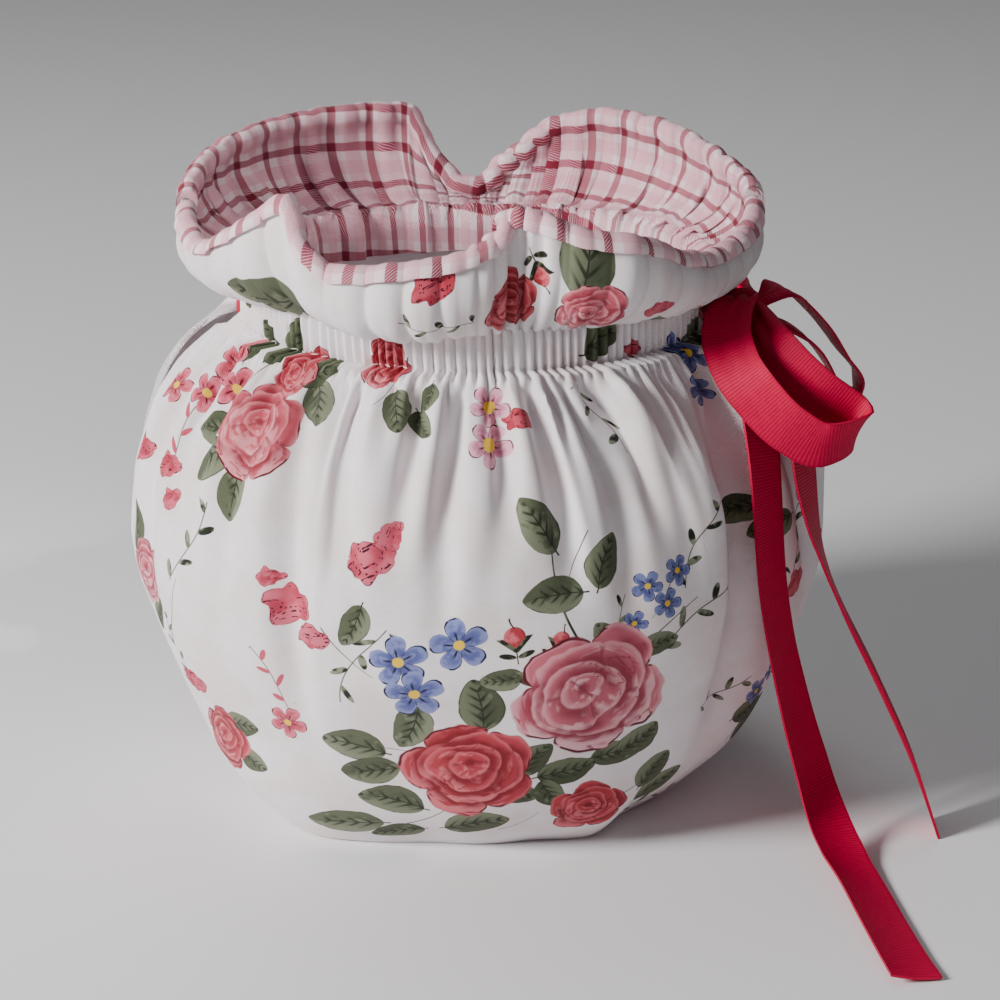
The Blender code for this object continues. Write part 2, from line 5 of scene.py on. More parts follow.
import bmesh
import bpy
import numpy as np
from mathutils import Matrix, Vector


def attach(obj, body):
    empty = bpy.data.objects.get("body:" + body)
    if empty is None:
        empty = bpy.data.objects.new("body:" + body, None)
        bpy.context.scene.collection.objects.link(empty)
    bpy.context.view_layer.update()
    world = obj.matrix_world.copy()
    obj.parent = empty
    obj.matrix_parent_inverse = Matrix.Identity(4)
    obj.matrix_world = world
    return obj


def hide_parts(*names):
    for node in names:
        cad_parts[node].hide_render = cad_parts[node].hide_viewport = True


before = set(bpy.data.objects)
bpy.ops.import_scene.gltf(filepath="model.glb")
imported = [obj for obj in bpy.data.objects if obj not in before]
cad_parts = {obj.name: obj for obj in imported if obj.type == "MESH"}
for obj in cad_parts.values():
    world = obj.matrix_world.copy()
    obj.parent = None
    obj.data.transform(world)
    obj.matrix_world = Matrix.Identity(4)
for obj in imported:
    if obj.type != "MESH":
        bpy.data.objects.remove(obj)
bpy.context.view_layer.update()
mm = 0.001
print("frame loaded")

# The camera comes first.  Sizes here are in metres and degrees.
view = {
    "place": (0.0, -0.9483, 0.4123),
    "tilt": 71.5,
    "lens": 115.2,
    "sensor": 36.0,
    "shift": (0.023, -0.016),
}


def addObject(name, data):
    made = bpy.data.objects.new(name, data)
    bpy.context.scene.collection.objects.link(made)
    return made


def makeCamera():
    camera = addObject("camera", bpy.data.cameras.new("camera"))
    camera.location = view["place"]
    camera.rotation_euler = (math.radians(view["tilt"]), 0.0, 0.0)
    camera.data.lens = view["lens"]
    camera.data.sensor_width = view["sensor"]
    camera.data.shift_x, camera.data.shift_y = view["shift"]
    bpy.context.scene.camera = camera


# The form of the cloth, in millimetres.  It is the form of the CAD panels, made finer.
form = {
    "cloth": 2.0,
    "bandBottom": 151.0,
    "bandTop": 164.0,
    "bandHalfWidth": 72.0,
    "bandHalfDepth": 67.0,
    "hemTurn": 8.0,
    "hemRise": 2.2,
    "hemLean": 1.1,
    "creaseFade": 26.0,
    "creaseStart": 0.18,
    "creaseHold": 0.35,
    "spreadHeight": 40.0,
    "edgeAngle": 9.0,
    "frillStartRise": 1.5,
    "frillFlare": 0.75,
    "frillBendHeight": 0.45,
    "frillBendDroop": 0.6,
    "rimHalfGap": 1.6,
    "seamHalfGap": 0.15,
    "widestHeight": 96.0,
    "frillLength": 42.0,
    "panelAngle": 176.0,
    "finePoints": 400,
    "widthPoints": 91,
}


def rows(kind, *values):
    return [kind(*row) for row in values]


# Tables are looked up by their first column, a height or an angle.  Angles are in degrees
# from the middle of a panel, towards +X.
Section = namedtuple("Section", "height halfWidth halfDepth")
belly = rows(
    Section, (0, 64, 58), (8, 74, 67), (16, 81.5, 74.5), (26, 88, 81.5), (38, 94, 87.5),
    (52, 100, 93), (68, 105, 97.5), (85, 108, 99.5), (105, 108, 98), (124, 103.5, 91),
    (138, 94.5, 81), (151, 79, 69),
)

HemPoint = namedtuple("HemPoint", "angle spread")
frontHem = rows(
    HemPoint, (-90, 1), (-66, 6.5), (-43, 12.5), (-27, 8), (-8, 2.5), (10, 2.5), (28, 5.5),
    (42, -2), (62, -1), (90, 0),
)
backHem = rows(
    HemPoint, (-90, 1), (-60, 3), (-35, -1), (0, 2), (30, 5), (60, 1), (90, 0),
)

Crease = namedtuple("Crease", "top foot depth halfWidth footHeight")
frontCreases = rows(
    Crease, (-77, -82, 3, 5, 80), (-65, -71, 4.2, 6, 52), (-53, -58, 3.2, 5.5, 84),
    (-41, -46, 3.4, 5, 66), (-31, -31, 5.6, 5.5, 18), (-21, -19, 3.6, 4.6, 72),
    (-12, -12, 2.6, 3.8, 104), (-4, -6, 3.6, 4.6, 62), (5, 6, 2.6, 3.8, 98),
    (13, 15, 3.2, 4.4, 84), (22, 25, 4.4, 5, 66), (32, 37, 3.6, 5, 82), (49, 51, 13, 9.5, 8),
    (65, 69, 4, 5.5, 56), (77, 81, 3, 5, 70),
)
backCreases = rows(
    Crease, (-75, -80, 3.2, 6, 74), (-58, -63, 4.4, 7, 56), (-42, -45, 3.4, 6, 82),
    (-28, -30, 5, 7, 34), (-13, -14, 3.2, 6, 76), (2, 2, 4.6, 6.5, 48), (17, 19, 3.4, 6, 80),
    (31, 34, 5.2, 7, 30), (46, 49, 3.6, 6, 70), (62, 67, 4.2, 6.5, 52), (77, 81, 3, 5.5, 72),
)

Slit = namedtuple("Slit", "height halfGap")
spoutSlit = rows(
    Slit, (0, 0.15), (58, 0.15), (72, 6.5), (90, 13), (112, 16), (134, 14.5), (151, 10.5), (164, 9),
)
handleSlit = rows(
    Slit, (0, 0.15), (58, 0.15), (72, 5), (90, 9.5), (112, 11.5), (134, 11), (151, 9.5), (164, 9),
)

Frill = namedtuple("Frill", "angle radius height belly droop")
frontFrill = rows(
    Frill, (-90, 89, 184, 7, 0), (-71, 87, 178, 8, 1), (-52, 85, 190, 7, 1), (-42, 82, 199, 3, 0),
    (-35, 86, 188, 4, 2), (-28, 85, 182, 8, 5), (-14, 82, 184, 10, 7), (-3, 79, 187, 8, 5),
    (4, 74, 191, 5, 1), (9, 71, 198, 1, 0), (15, 75, 196, 2, 0), (23, 80, 192, 5, 1),
    (34, 83, 189, 7, 2), (48, 82, 181, 8, 3), (60, 80, 178, 9, 3), (76, 83, 180, 8, 1),
    (90, 85, 185, 6, 0),
)
backFrill = rows(
    Frill, (-90, 89, 185, 6, 0), (-70, 90.5, 191, 5, 1), (-47, 89, 195.5, 5, 1),
    (-24, 84, 197, 4, 1), (-15, 82, 196, 3, 0), (-9, 77, 180, 4, 0), (-1, 75, 173, 5, 1),
    (7, 78, 180, 4, 1), (18, 83, 192, 4, 1), (32, 85, 196, 5, 2), (48, 86, 194, 5, 2),
    (67, 87, 188, 6, 1), (90, 85, 186, 6, 0),
)

Panel = namedtuple("Panel", "name side creases hem frill seed")
front = Panel("front", -1.0, frontCreases, frontHem, frontFrill, 11)
back = Panel("back", 1.0, backCreases, backHem, backFrill, 23)


def smoothCurve(at, places, values):
    # a smooth curve through a table's values, without overshoot
    at = np.clip(np.asarray(at, float), places[0], places[-1])
    places = np.asarray(places, float)
    values = np.asarray(values, float)
    step = np.diff(places)
    rise = np.diff(values) / step
    slope = np.zeros(len(places))
    slope[0], slope[-1] = rise[0], rise[-1]
    sameWay = rise[:-1] * rise[1:] > 0.0
    left, right = rise[:-1][sameWay], rise[1:][sameWay]
    slope[1:-1][sameWay] = 2.0 * left * right / (left + right)
    cell = np.clip(np.searchsorted(places, at, side="right") - 1, 0, len(step) - 1)
    part = (at - places[cell]) / step[cell]
    bend = part * part * (3.0 - 2.0 * part)
    startSlope = part * (1.0 - part) ** 2 * step[cell] * slope[cell]
    endSlope = part * part * (part - 1.0) * step[cell] * slope[cell + 1]
    return values[cell] * (1.0 - bend) + values[cell + 1] * bend + startSlope + endSlope


def lookUp(table, name, at):
    return smoothCurve(at, [row[0] for row in table], [getattr(row, name) for row in table])


def ease(value):
    value = np.clip(value, 0.0, 1.0)
    return value * value * (3.0 - 2.0 * value)


def bump(away, halfWidth):
    return np.exp(-(away / halfWidth) ** 2)


def unit(vectors):
    return vectors / np.linalg.norm(vectors, axis=-1, keepdims=True)


def lengths(points):
    # the way along a line of points, from 0 to its whole length
    steps = np.linalg.norm(np.diff(points, axis=0), axis=1)
    return np.concatenate([[0.0], np.cumsum(steps)])


def rowTurns(height, halfDepth, shares, rimShare=0.0):
    # turns across one row in degrees, from its spout edge to its handle edge
    ends = []
    for slit in (spoutSlit, handleSlit):
        gap = lookUp(slit, "halfGap", height)
        gap = gap + (form["rimHalfGap"] - gap) * ease(rimShare)
        ends.append(90.0 - math.degrees(math.asin(min(gap / halfDepth, 0.9))))
    return -ends[0] + (ends[0] + ends[1]) * shares


def around(panel, angle, halfWidth, halfDepth, height):
    turn = np.radians(angle)
    x, y = halfWidth * np.sin(turn), panel.side * halfDepth * np.cos(turn)
    return np.stack([x, y, np.zeros_like(x) + height], axis=1)


def creaseDepth(panel, angle, height, radius):
    below = (form["bandBottom"] - height) / form["creaseFade"]
    deepening = form["creaseStart"] + (1.0 - form["creaseStart"]) * ease(below)
    depth = np.zeros_like(angle)
    for crease in panel.creases:
        fall = (form["bandBottom"] - height) / (form["bandBottom"] - crease.footHeight)
        fading = 1.0 - ease((fall - form["creaseHold"]) / (1.0 - form["creaseHold"]))
        middle = crease.top + (crease.foot - crease.top) * min(max(fall, 0.0), 1.0)
        away = np.radians(angle - middle) * radius
        depth += crease.depth * deepening * fading * bump(away, crease.halfWidth)
    return depth


def bellyRow(panel, height, shares):
    halfWidth, halfDepth = (lookUp(belly, name, height) for name in ("halfWidth", "halfDepth"))
    angle = rowTurns(height, halfDepth, shares)
    towardHem = 1.0 - ease(height / form["spreadHeight"])
    spread = lookUp(panel.hem, "spread", angle) * towardHem
    nearEdge = ease((90.0 - np.abs(angle)) / form["edgeAngle"])
    offset = (spread - creaseDepth(panel, angle, height, halfWidth)) * nearEdge
    return around(panel, angle, halfWidth + offset, halfDepth + offset, height)


def bandRow(panel, share, shares):
    height = form["bandBottom"] + (form["bandTop"] - form["bandBottom"]) * share
    angle = rowTurns(height, form["bandHalfDepth"], shares)
    return around(panel, angle, form["bandHalfWidth"], form["bandHalfDepth"], height)


def frillRow(panel, share, shares):
    # a cubic curve in each column, from the band's top to the rim
    top = form["bandTop"]
    angle = rowTurns(top, form["bandHalfDepth"], shares, share)
    rimRadius, rimHeight, bulge, droop = (
        lookUp(panel.frill, name, angle) for name in ("radius", "height", "belly", "droop"))
    turn = np.radians(angle)
    neck = np.hypot(form["bandHalfWidth"] * np.sin(turn), form["bandHalfDepth"] * np.cos(turn))
    radii = (neck, neck + form["frillFlare"] * (rimRadius - neck), rimRadius + bulge, rimRadius)
    bendHeight = top + form["frillBendHeight"] * (rimHeight - top)
    heights = (
        np.full_like(neck, top),
        top + form["frillStartRise"] - droop,
        bendHeight - form["frillBendDroop"] * droop,
        rimHeight,
    )
    rest = 1.0 - share
    weights = (rest ** 3, 3.0 * share * rest ** 2, 3.0 * share ** 2 * rest, share ** 3)
    radius = sum(weight * value for weight, value in zip(weights, radii))
    height = sum(weight * value for weight, value in zip(weights, heights))
    return around(panel, angle, radius, radius, height)


def bellyHeights(count):
    # heights spaced evenly along the belly's side, with the run of cloth up to each
    fine = np.linspace(0.0, form["bandBottom"], form["finePoints"])
    width = lookUp(belly, "halfWidth", fine)
    run = lengths(np.stack([fine, width], axis=1))
    even = np.linspace(0.0, run[-1], count + 1)
    return np.interp(even, run, fine)[:-1], even


def flatWidth(panel, height):
    shares = np.linspace(0.0, 1.0, form["widthPoints"])
    row = bellyRow(panel._replace(creases=[], hem=frontHem), height, shares)
    return float(lengths(row)[-1])


def baseSurface(panel, columns, bellyRows, bandRows, frillRows):
    # the outer face as rows of points, with its flat places: across, and up from the hem
    shares = np.linspace(0.0, 1.0, columns + 1)
    heights, runs = bellyHeights(bellyRows)
    bandShares = np.linspace(0.0, 1.0, bandRows + 1)
    frillShares = np.linspace(0.0, 1.0, frillRows + 1)[1:]
    points = np.array(
        [bellyRow(panel, height, shares) for height in heights]
        + [bandRow(panel, share, shares) for share in bandShares]
        + [frillRow(panel, share, shares) for share in frillShares])
    bandHeight = form["bandTop"] - form["bandBottom"]
    up = np.concatenate([
        runs[:-1],
        runs[-1] + bandShares * bandHeight,
        runs[-1] + bandHeight + frillShares * form["frillLength"],
    ])
    widest = flatWidth(panel, form["widestHeight"])
    widths = [min(flatWidth(panel, height), widest) if height < form["widestHeight"] else widest
              for height in heights]
    widths += [widest] * (len(points) - len(heights))
    across = np.outer(widths, shares - 0.5)
    return points, across, np.repeat(up[:, None], columns + 1, axis=1)


# Small folds that the needle and the shirring draw into the cloth, in millimetres.
relief = {
    "pleatDepth": 1.3,
    "pleatFade": 4.0,
    "seamDepth": 0.55,
    "seamHalfWidth": 0.9,
    "gatherDepth": 0.7,
    "gatherStart": 5.0,
    "gatherReach": 11.0,
    "frillReach": 16.0,
    "foldDepth": 0.55,
    "foldStart": 10.0,
    "uneven": 0.7,
    "unevenKnots": 31,
    "slack": 0.8,
    "slackCell": 21.0,
    "slackStart": 20.0,
    "tuftAngle": 8.5,
    "tuftWidth": 7.5,
    "tuftPitch": 3.6,
    "tuftDepth": 1.5,
    "tuftStart": 8.0,
    "edgeColumns": 12.0,
    "pullStrength": 1.25,
}

# How many ridges lie across a panel, and how far they stray from an even spacing.
Ridging = namedtuple("Ridging", "count knots stray")
ridgings = rows(Ridging, (71, 26, 0.35), (41, 19, 0.45), (21, 13, 0.45))  # pleats, gathers, folds

# Folds that only chance places, between those given one by one.  Pairs are the least and the most.
chanceFolds = {
    "count": 30,
    "reach": 142.0,
    "jitter": (0.1, 0.9),
    "height": (0.5, 1.5),
    "signs": (-1.0, -1.0, 1.0),
    "backStrength": 1.7,
    "smoothPlace": (-94.0, -60.0),
    "smoothShare": 0.35,
    "splay": 1.04,
    "stray": 3.0,
    "footUp": (70.0, 140.0),
    "halfWidth": (2.4, 5.0),
}

# Folds given one by one on the flat cloth, in millimetres: where each starts at the band and
# ends, how high it stands (below zero it is a trough), and its half width.
Pull = namedtuple("Pull", "top foot footUp height halfWidth")
frontPulls = rows(
    Pull, (-44, -45, 88, -3.4, 3.8), (-37, -37, 84, 2, 4.6), (-50, -51, 122, -2, 2.6),
    (-63, -56, 92, -1.8, 6), (-30, -33, 100, 1.2, 3.6), (-21, -26, 104, -2.6, 3.6),
    (-13, -21, 108, 1.3, 3.4), (-6, -16, 104, -2.4, 3.8), (3, 0, 138, -1.8, 2.6),
    (8, 1, 92, -1.9, 4.4), (12, 12, 110, 1, 3), (16, 27, 98, -3.2, 4.2), (21, 31, 100, 2, 2.2),
    (29, 42, 118, -2.6, 3.4), (40, 60, 96, -4.2, 6.8), (50, 68, 112, 2, 4),
    (-80, -79, 126, -1.2, 4.2), (-96, -99, 106, -2.3, 4.6), (-88, -92, 116, 0.8, 4.4),
    (-110, -109, 118, -3, 4.8), (-126, -128, 98, -2.4, 5), (72, 84, 104, -2.2, 4.4),
    (92, 100, 88, -2.8, 5.2), (111, 117, 98, -2.4, 5), (127, 131, 92, -2.6, 4.8),
)


def wander(shares, knots, reach, seed):
    # a smooth random line across the cloth
    values = np.random.default_rng(seed).uniform(-reach, reach, knots + 1)
    return smoothCurve(shares, np.linspace(0.0, 1.0, knots + 1), values)


def slackNoise(across, up, cell, seed):
    # soft random swellings about one cell wide, from -1 to 1
    values = np.random.default_rng(seed).uniform(-1.0, 1.0, (64, 64))
    x, y = across / cell + 32.0, up / cell + 4.0
    i, j = np.floor(x).astype(int), np.floor(y).astype(int)
    u, v = ease(x - i), ease(y - j)
    low = values[i, j] * (1 - u) + values[i + 1, j] * u
    high = values[i, j + 1] * (1 - u) + values[i + 1, j + 1] * u
    return low * (1 - v) + high * v


def ridges(place):
    # rounded ridges with narrow grooves, one for each whole number
    return 2.0 * np.abs(np.sin(math.pi * place)) ** 0.7 - 1.0


def pullHeight(pulls, across, up, bandBottom):
    height = np.zeros_like(across)
    for pull in pulls:
        fall = (bandBottom - up) / (bandBottom - pull.footUp)
        middle = pull.top + (pull.foot - pull.top) * np.clip(fall, 0.0, 1.0)
        width = pull.halfWidth * (0.45 + 0.75 * np.clip(fall, 0.0, 1.0))
        strength = pull.height * ease(fall * 6.0) * (1.0 - ease((fall - 0.3) / 0.7))
        height += strength * bump(across - middle, width)
    return height


def chancePulls(panel):
    chaos = np.random.default_rng(panel.seed)
    pulls = []
    strength = 1.0 if panel is front else chanceFolds["backStrength"]
    count, reach = chanceFolds["count"], chanceFolds["reach"]
    smoothFrom, smoothTo = chanceFolds["smoothPlace"]  # the left of the front hangs smooth
    for number in range(count):
        top = -reach + 2.0 * reach * (number + chaos.uniform(*chanceFolds["jitter"])) / count
        height = strength * chaos.uniform(*chanceFolds["height"]) * chaos.choice(chanceFolds["signs"])
        if panel is front and smoothFrom < top < smoothTo:
            height *= chanceFolds["smoothShare"]
        foot = top * chanceFolds["splay"] + chaos.normal(0.0, chanceFolds["stray"])
        footUp, halfWidth = (chaos.uniform(*chanceFolds[name]) for name in ("footUp", "halfWidth"))
        pulls.append(Pull(top, foot, footUp, height, halfWidth))
    return pulls


def nearEnds(shares, columns, reach):
    # 0 at the two side edges, and 1 a few columns in from them
    return ease(np.minimum(shares, 1.0 - shares) * columns / reach)


def smallFolds(panel, across, up):
    # what all layers share, and what only the outer face has
    shares = np.linspace(0.0, 1.0, across.shape[1])[None, :]
    bandTop = up.max() - form["frillLength"]
    bandBottom = bandTop - form["bandTop"] + form["bandBottom"]
    below = np.maximum(bandBottom - up, 0.0)
    above = np.maximum(up - bandTop, 0.0)
    pleats, gathers, folds = (
        ridges(count * shares + wander(shares, knots, stray, panel.seed + knots))
        for count, knots, stray in ridgings)
    uneven = 1.0 + wander(shares, relief["unevenKnots"], relief["uneven"], panel.seed + 7)
    gathers = relief["gatherDepth"] * gathers

    fade, halfSeam = relief["pleatFade"], relief["seamHalfWidth"]
    outer = relief["pleatDepth"] * pleats * np.exp(-(below / fade) ** 2 - (above / fade) ** 2)
    for seam in (bandBottom + halfSeam, bandTop - halfSeam):
        outer = outer - relief["seamDepth"] * bump(up - seam, halfSeam)
    outer = outer + gathers * uneven * ease(below / relief["gatherStart"]) * np.exp(
        -below / relief["gatherReach"])

    angle = (shares - 0.5) * form["panelAngle"]
    tuft = bump(angle - relief["tuftAngle"], relief["tuftWidth"])
    pulls = chancePulls(panel) + (frontPulls if panel is front else [])
    slack = slackNoise(across, up, relief["slackCell"], panel.seed)
    shared = relief["pullStrength"] * pullHeight(pulls, across, up, bandBottom)
    shared = shared + relief["slack"] * slack * ease(below / relief["slackStart"])
    shared = shared + gathers * ease(above / relief["gatherStart"]) * np.exp(
        -above / relief["frillReach"])
    shared = shared + relief["foldDepth"] * folds * uneven * ease(above / relief["foldStart"])
    shared = shared + relief["tuftDepth"] * tuft * ridges(angle / relief["tuftPitch"]) * ease(
        above / relief["tuftStart"])
    inward = nearEnds(shares, across.shape[1], relief["edgeColumns"])
    return shared * inward, outer * inward


def faceNormals(panel, points):
    normals = np.cross(np.gradient(points, axis=1), np.gradient(points, axis=0))
    return unit(normals) * -panel.side


def layerSurface(panel, columns, bellyRows, bandRows, frillRows):
    # points with the shared folds in, their normals, flat places, and the outer face's relief
    points, across, up = baseSurface(panel, columns, bellyRows, bandRows, frillRows)
    shared, outer = smallFolds(panel, across, up)
    points = points + shared[..., None] * faceNormals(panel, points)
    return points, faceNormals(panel, points), np.stack([across, up], axis=2), outer


def stitchRows(lower, upper):
    # faces between two rows of vertex numbers that may differ in count
    faces = []
    i = j = 0
    while i < len(lower) - 1 or j < len(upper) - 1:
        nextLow = (i + 1) / (len(lower) - 1) if i < len(lower) - 1 else 2.0
        nextUp = (j + 1) / (len(upper) - 1) if j < len(upper) - 1 else 2.0
        if abs(nextLow - nextUp) < 1e-9:
            faces.append((lower[i], lower[i + 1], upper[j + 1], upper[j]))
            i, j = i + 1, j + 1
        elif nextLow < nextUp:
            faces.append((lower[i], lower[i + 1], upper[j]))
            i += 1
        else:
            faces.append((lower[i], upper[j + 1], upper[j]))
            j += 1
    return faces


def gridFaces(numbers):
    low, high = numbers[:-1], numbers[1:]
    corners = (low[:, :-1], low[:, 1:], high[:, 1:], high[:, :-1])
    return np.stack([corner.ravel() for corner in corners], axis=1).tolist()


def makePiece(name, points, faces, flat):
    # a smooth closed piece from points in millimetres, with its own map of flat cloth
    mesh = bpy.data.meshes.new(name)
    mesh.from_pydata((points * mm).tolist(), [], faces)
    bm = bmesh.new()
    bm.from_mesh(mesh)
    bmesh.ops.recalc_face_normals(bm, faces=bm.faces[:])
    bm.to_mesh(mesh)
    bm.free()
    layer = mesh.uv_layers.new(name="flatCloth")
    layer.uv.foreach_set("vector", flat[cornerNumbers(mesh)].astype(np.float32).ravel())
    mesh.shade_smooth()
    return addObject(name, mesh)


def closedSheet(name, outer, inner, outerFlat, innerFlat):
    # one closed piece of cloth from the point grids of its two faces
    outerNumbers = np.arange(outer.shape[0] * outer.shape[1]).reshape(outer.shape[:2])
    innerNumbers = outerNumbers.size + np.arange(inner.shape[0] * inner.shape[1])
    innerNumbers = innerNumbers.reshape(inner.shape[:2])
    faces = gridFaces(outerNumbers) + gridFaces(innerNumbers[:, ::-1])
    borders = (
        (innerNumbers[0], outerNumbers[0]),
        (outerNumbers[-1], innerNumbers[-1]),
        (outerNumbers[:, 0], innerNumbers[:, 0]),
        (innerNumbers[:, -1], outerNumbers[:, -1]),
    )
    for one, other in borders:
        faces += stitchRows(one.tolist(), other.tolist())
    points = np.concatenate([outer.reshape(-1, 3), inner.reshape(-1, 3)])
    flat = np.concatenate([outerFlat.reshape(-1, 2), innerFlat.reshape(-1, 2)])
    piece = makePiece(name, points, faces, flat)
    piece.data.set_sharp_from_angle(angle=math.radians(75.0))
    return piece, flat, outerNumbers.size


def cornerNumbers(mesh):
    numbers = np.empty(len(mesh.loops), np.int32)
    mesh.loops.foreach_get("vertex_index", numbers)
    return numbers


# Columns across a panel, then rows in the belly, the band and the frill.
Grid = namedtuple("Grid", "columns bellyRows bandRows frillRows")
grids = {
    "panelOuter": Grid(470, 104, 12, 38),
    "panelInner": Grid(236, 40, 4, 14),
    "facingOuter": Grid(380, 4, 8, 26),
    "facingInner": Grid(190, 4, 4, 9),
}


def makePanel(panel):
    # returns the cloth, its flat places, how many vertices its outer face has, which come
    # first, and its two seam lines
    grid = grids["panelOuter"]
    points, normals, flat, outerRelief = layerSurface(panel, *grid)
    outer = points + outerRelief[..., None] * normals
    coarse, coarseNormals, innerFlat, _ = layerSurface(panel, *grids["panelInner"])
    inner = coarse - form["cloth"] * coarseNormals
    for face, source in ((outer, points), (inner, coarse)):
        for end in (0, -1):
            face[:, end, 1] = source[:, end, 1]
    # the hem is turned in flat, and the inner face starts on top of it
    outward = unit(coarse[0] * [1.0, form["hemLean"], 0.0])
    turned = coarse[0] - form["hemTurn"] * outward
    for end in (0, -1):
        turned[end, 1] = coarse[0, end, 1]
    hemTop = turned + [0.0, 0.0, form["hemRise"]]
    inner = np.concatenate([turned[None], hemTop[None], inner[1:]])
    innerFlat = np.concatenate([innerFlat[:1] - [0.0, form["hemTurn"]], innerFlat])
    outer[0] = points[0]
    for face in (outer, inner):
        face[..., 2] = np.maximum(face[..., 2], 0.0)
    seams = [outer[row] + stitching["lift"] * normals[row]
             for row in (grid.bellyRows + 1, grid.bellyRows + grid.bandRows - 1)]
    return *closedSheet(panel.name + "_cloth", outer, inner, flat, innerFlat), seams


# The checked facing and its ruched roll over the rim, in millimetres.
facing = {
    "gap": 1.0,
    "thickness": 1.2,
    "foot": 0.25,
    "rollWidth": 3.3,
    "rollRise": 3.6,
    "rollDrop": 0.5,
    "startTurn": -38.0,
    "endTurn": 218.0,
    "rollRows": 22,
    "rollSpace": 6.5,
    "ruchPitch": 7.0,
    "ruchDepth": 0.2,
    "ruchHalfWidth": 1.3,
    "ruchStray": 1.1,
    "ruchLeast": 0.45,
    "creases": 15.0,
    "creaseDepth": 0.8,
    "creaseKnots": 11,
    "creaseStray": 0.5,
    "creaseFade": 20.0,
    "deepest": 0.1,
    "lapRise": 11.0,
    "lapFall": 1.4,
    "edgeColumns": 14.0,
    "plainBelowRim": 7.0,
    "rimFade": 6.0,
}

# Tucks where the facing laps over itself: the angle, and how far the lap stands out.
Tuck = namedtuple("Tuck", "angle height")
tucks = {
    "front": rows(Tuck, (-64, 1.3), (-22, 1.2), (28, 1.3), (66, 1.4)),
    "back": rows(Tuck, (-70, 1.6), (-55, 2.2), (-36, 2.2), (-15, 1.4), (24, 1.4), (44, 1.8),
                 (58, 2.2), (74, 1.6)),
}

# How each facing was cut from the check: how far off the grain, and its shift up the cloth.
Grain = namedtuple("Grain", "lean shift")
grains = {"front": Grain(0.0, -7.4), "back": Grain(0.0625, -7.4)}


def facingCreases(panel, up):
    shares = np.linspace(0.0, 1.0, up.shape[1])[None, :]
    above = np.clip((up - up.min()) / facing["creaseFade"], 0.0, 1.0)
    shift = wander(shares, facing["creaseKnots"], facing["creaseStray"], panel.seed + 3)
    place = facing["creases"] * shares + shift
    height = facing["creaseDepth"] * ridges(place) * (1.0 - 0.5 * above)
    for tuck in tucks[panel.name]:
        away = (shares - 0.5) * form["panelAngle"] - tuck.angle
        rising, falling = ease(1.0 + away / facing["lapRise"]), ease(1.0 - away / facing["lapFall"])
        lap = np.where(away < 0.0, rising, falling)
        height = height + tuck.height * lap
    return height * nearEnds(shares, up.shape[1], facing["edgeColumns"])


def ruchGrooves(rim, seed):
    # 1 in the grooves that the rim's stitches draw in, 0 on the puffs between them
    chaos = np.random.default_rng(seed)
    run = lengths(rim)
    count = int(run[-1] / facing["ruchPitch"])
    shifts = chaos.normal(0.0, facing["ruchStray"], count)
    places = (np.arange(count) + 0.5) * run[-1] / count + shifts
    grooves = np.zeros_like(run)
    for place, deep in zip(places, chaos.uniform(facing["ruchLeast"], 1.0, count)):
        away = np.abs(run - place) / facing["ruchHalfWidth"]
        grooves = np.maximum(grooves, deep * np.exp(-away))
    return grooves


def makeRoll(rim, rimNormal, rimUp, rimFlat, seed):
    # the rows of the puffy roll round the rim, and their flat places
    squeeze = 1.0 - facing["ruchDepth"] * ruchGrooves(rim, seed)
    rollRows, rollFlat = [], []
    turns = np.radians(np.linspace(facing["startTurn"], facing["endTurn"], facing["rollRows"]))
    reach = facing["rollWidth"] + facing["rollRise"] + facing["rollDrop"]
    for turn in turns:
        level = (facing["rollRise"] + facing["rollDrop"]) * squeeze * math.sin(turn)
        out = 0.5 * form["cloth"] + facing["rollWidth"] * squeeze * math.cos(turn)
        rise = level - facing["rollDrop"]
        rollRows.append(rim - out[:, None] * rimNormal + rise[:, None] * rimUp)
        rollFlat.append(rimFlat + [0.0, (turn - turns[0]) * 0.5 * reach])
    return rollRows, rollFlat


def makeFacing(panel):
    grid = grids["facingOuter"]
    firstRow = grid.bellyRows + int(facing["foot"] * grid.bandRows)
    points, normals, flat, _ = (part[firstRow:] for part in layerSurface(panel, *grid))
    up = flat[..., 1]
    hidden = form["cloth"] + facing["gap"]
    fade = ease((up.max() - facing["plainBelowRim"] - up) / facing["rimFade"])
    creases = np.maximum(facingCreases(panel, up), -facing["deepest"])
    depth = hidden + facing["thickness"] + creases * fade
    shown = points - depth[..., None] * normals

    rimUp = unit(points[-1] - points[-3])
    rollRows, rollFlat = makeRoll(points[-1], normals[-1], rimUp, flat[-1], panel.seed)
    keep = up[:, 0] < up.max() - facing["rollSpace"]
    outer = np.concatenate([shown[keep], rollRows])
    outerFlat = np.concatenate([flat[keep], rollFlat])

    grid = grids["facingInner"]
    coarse, coarseNormals, innerFlat, _ = (
        part[grid.bellyRows + 1:] for part in layerSurface(panel, *grid))
    edge, edgeNormal = coarse[-1], coarseNormals[-1]
    edgeUp = unit(coarse[-1] - coarse[-2])
    gap = facing["gap"]
    steps = ((0.5 * form["cloth"], gap), (-gap, 0.0), (-gap, -2.0))
    over = [edge - out * edgeNormal + rise * edgeUp for out, rise in steps]
    inner = np.concatenate([coarse - hidden * coarseNormals, over])
    innerFlat = np.concatenate([innerFlat] + [innerFlat[-1:]] * len(over))
    grain = grains[panel.name]
    for flatGrid in (outerFlat, innerFlat):
        flatGrid[..., 1] += grain.lean * flatGrid[..., 0] + grain.shift
    for face in (outer, inner):
        for end in (0, -1):
            least = np.maximum(np.abs(face[:, end, 1]), form["seamHalfGap"])
            face[:, end, 1] = panel.side * least
    piece, _, _ = closedSheet(panel.name + "_check", outer, inner, outerFlat, innerFlat)
    return piece


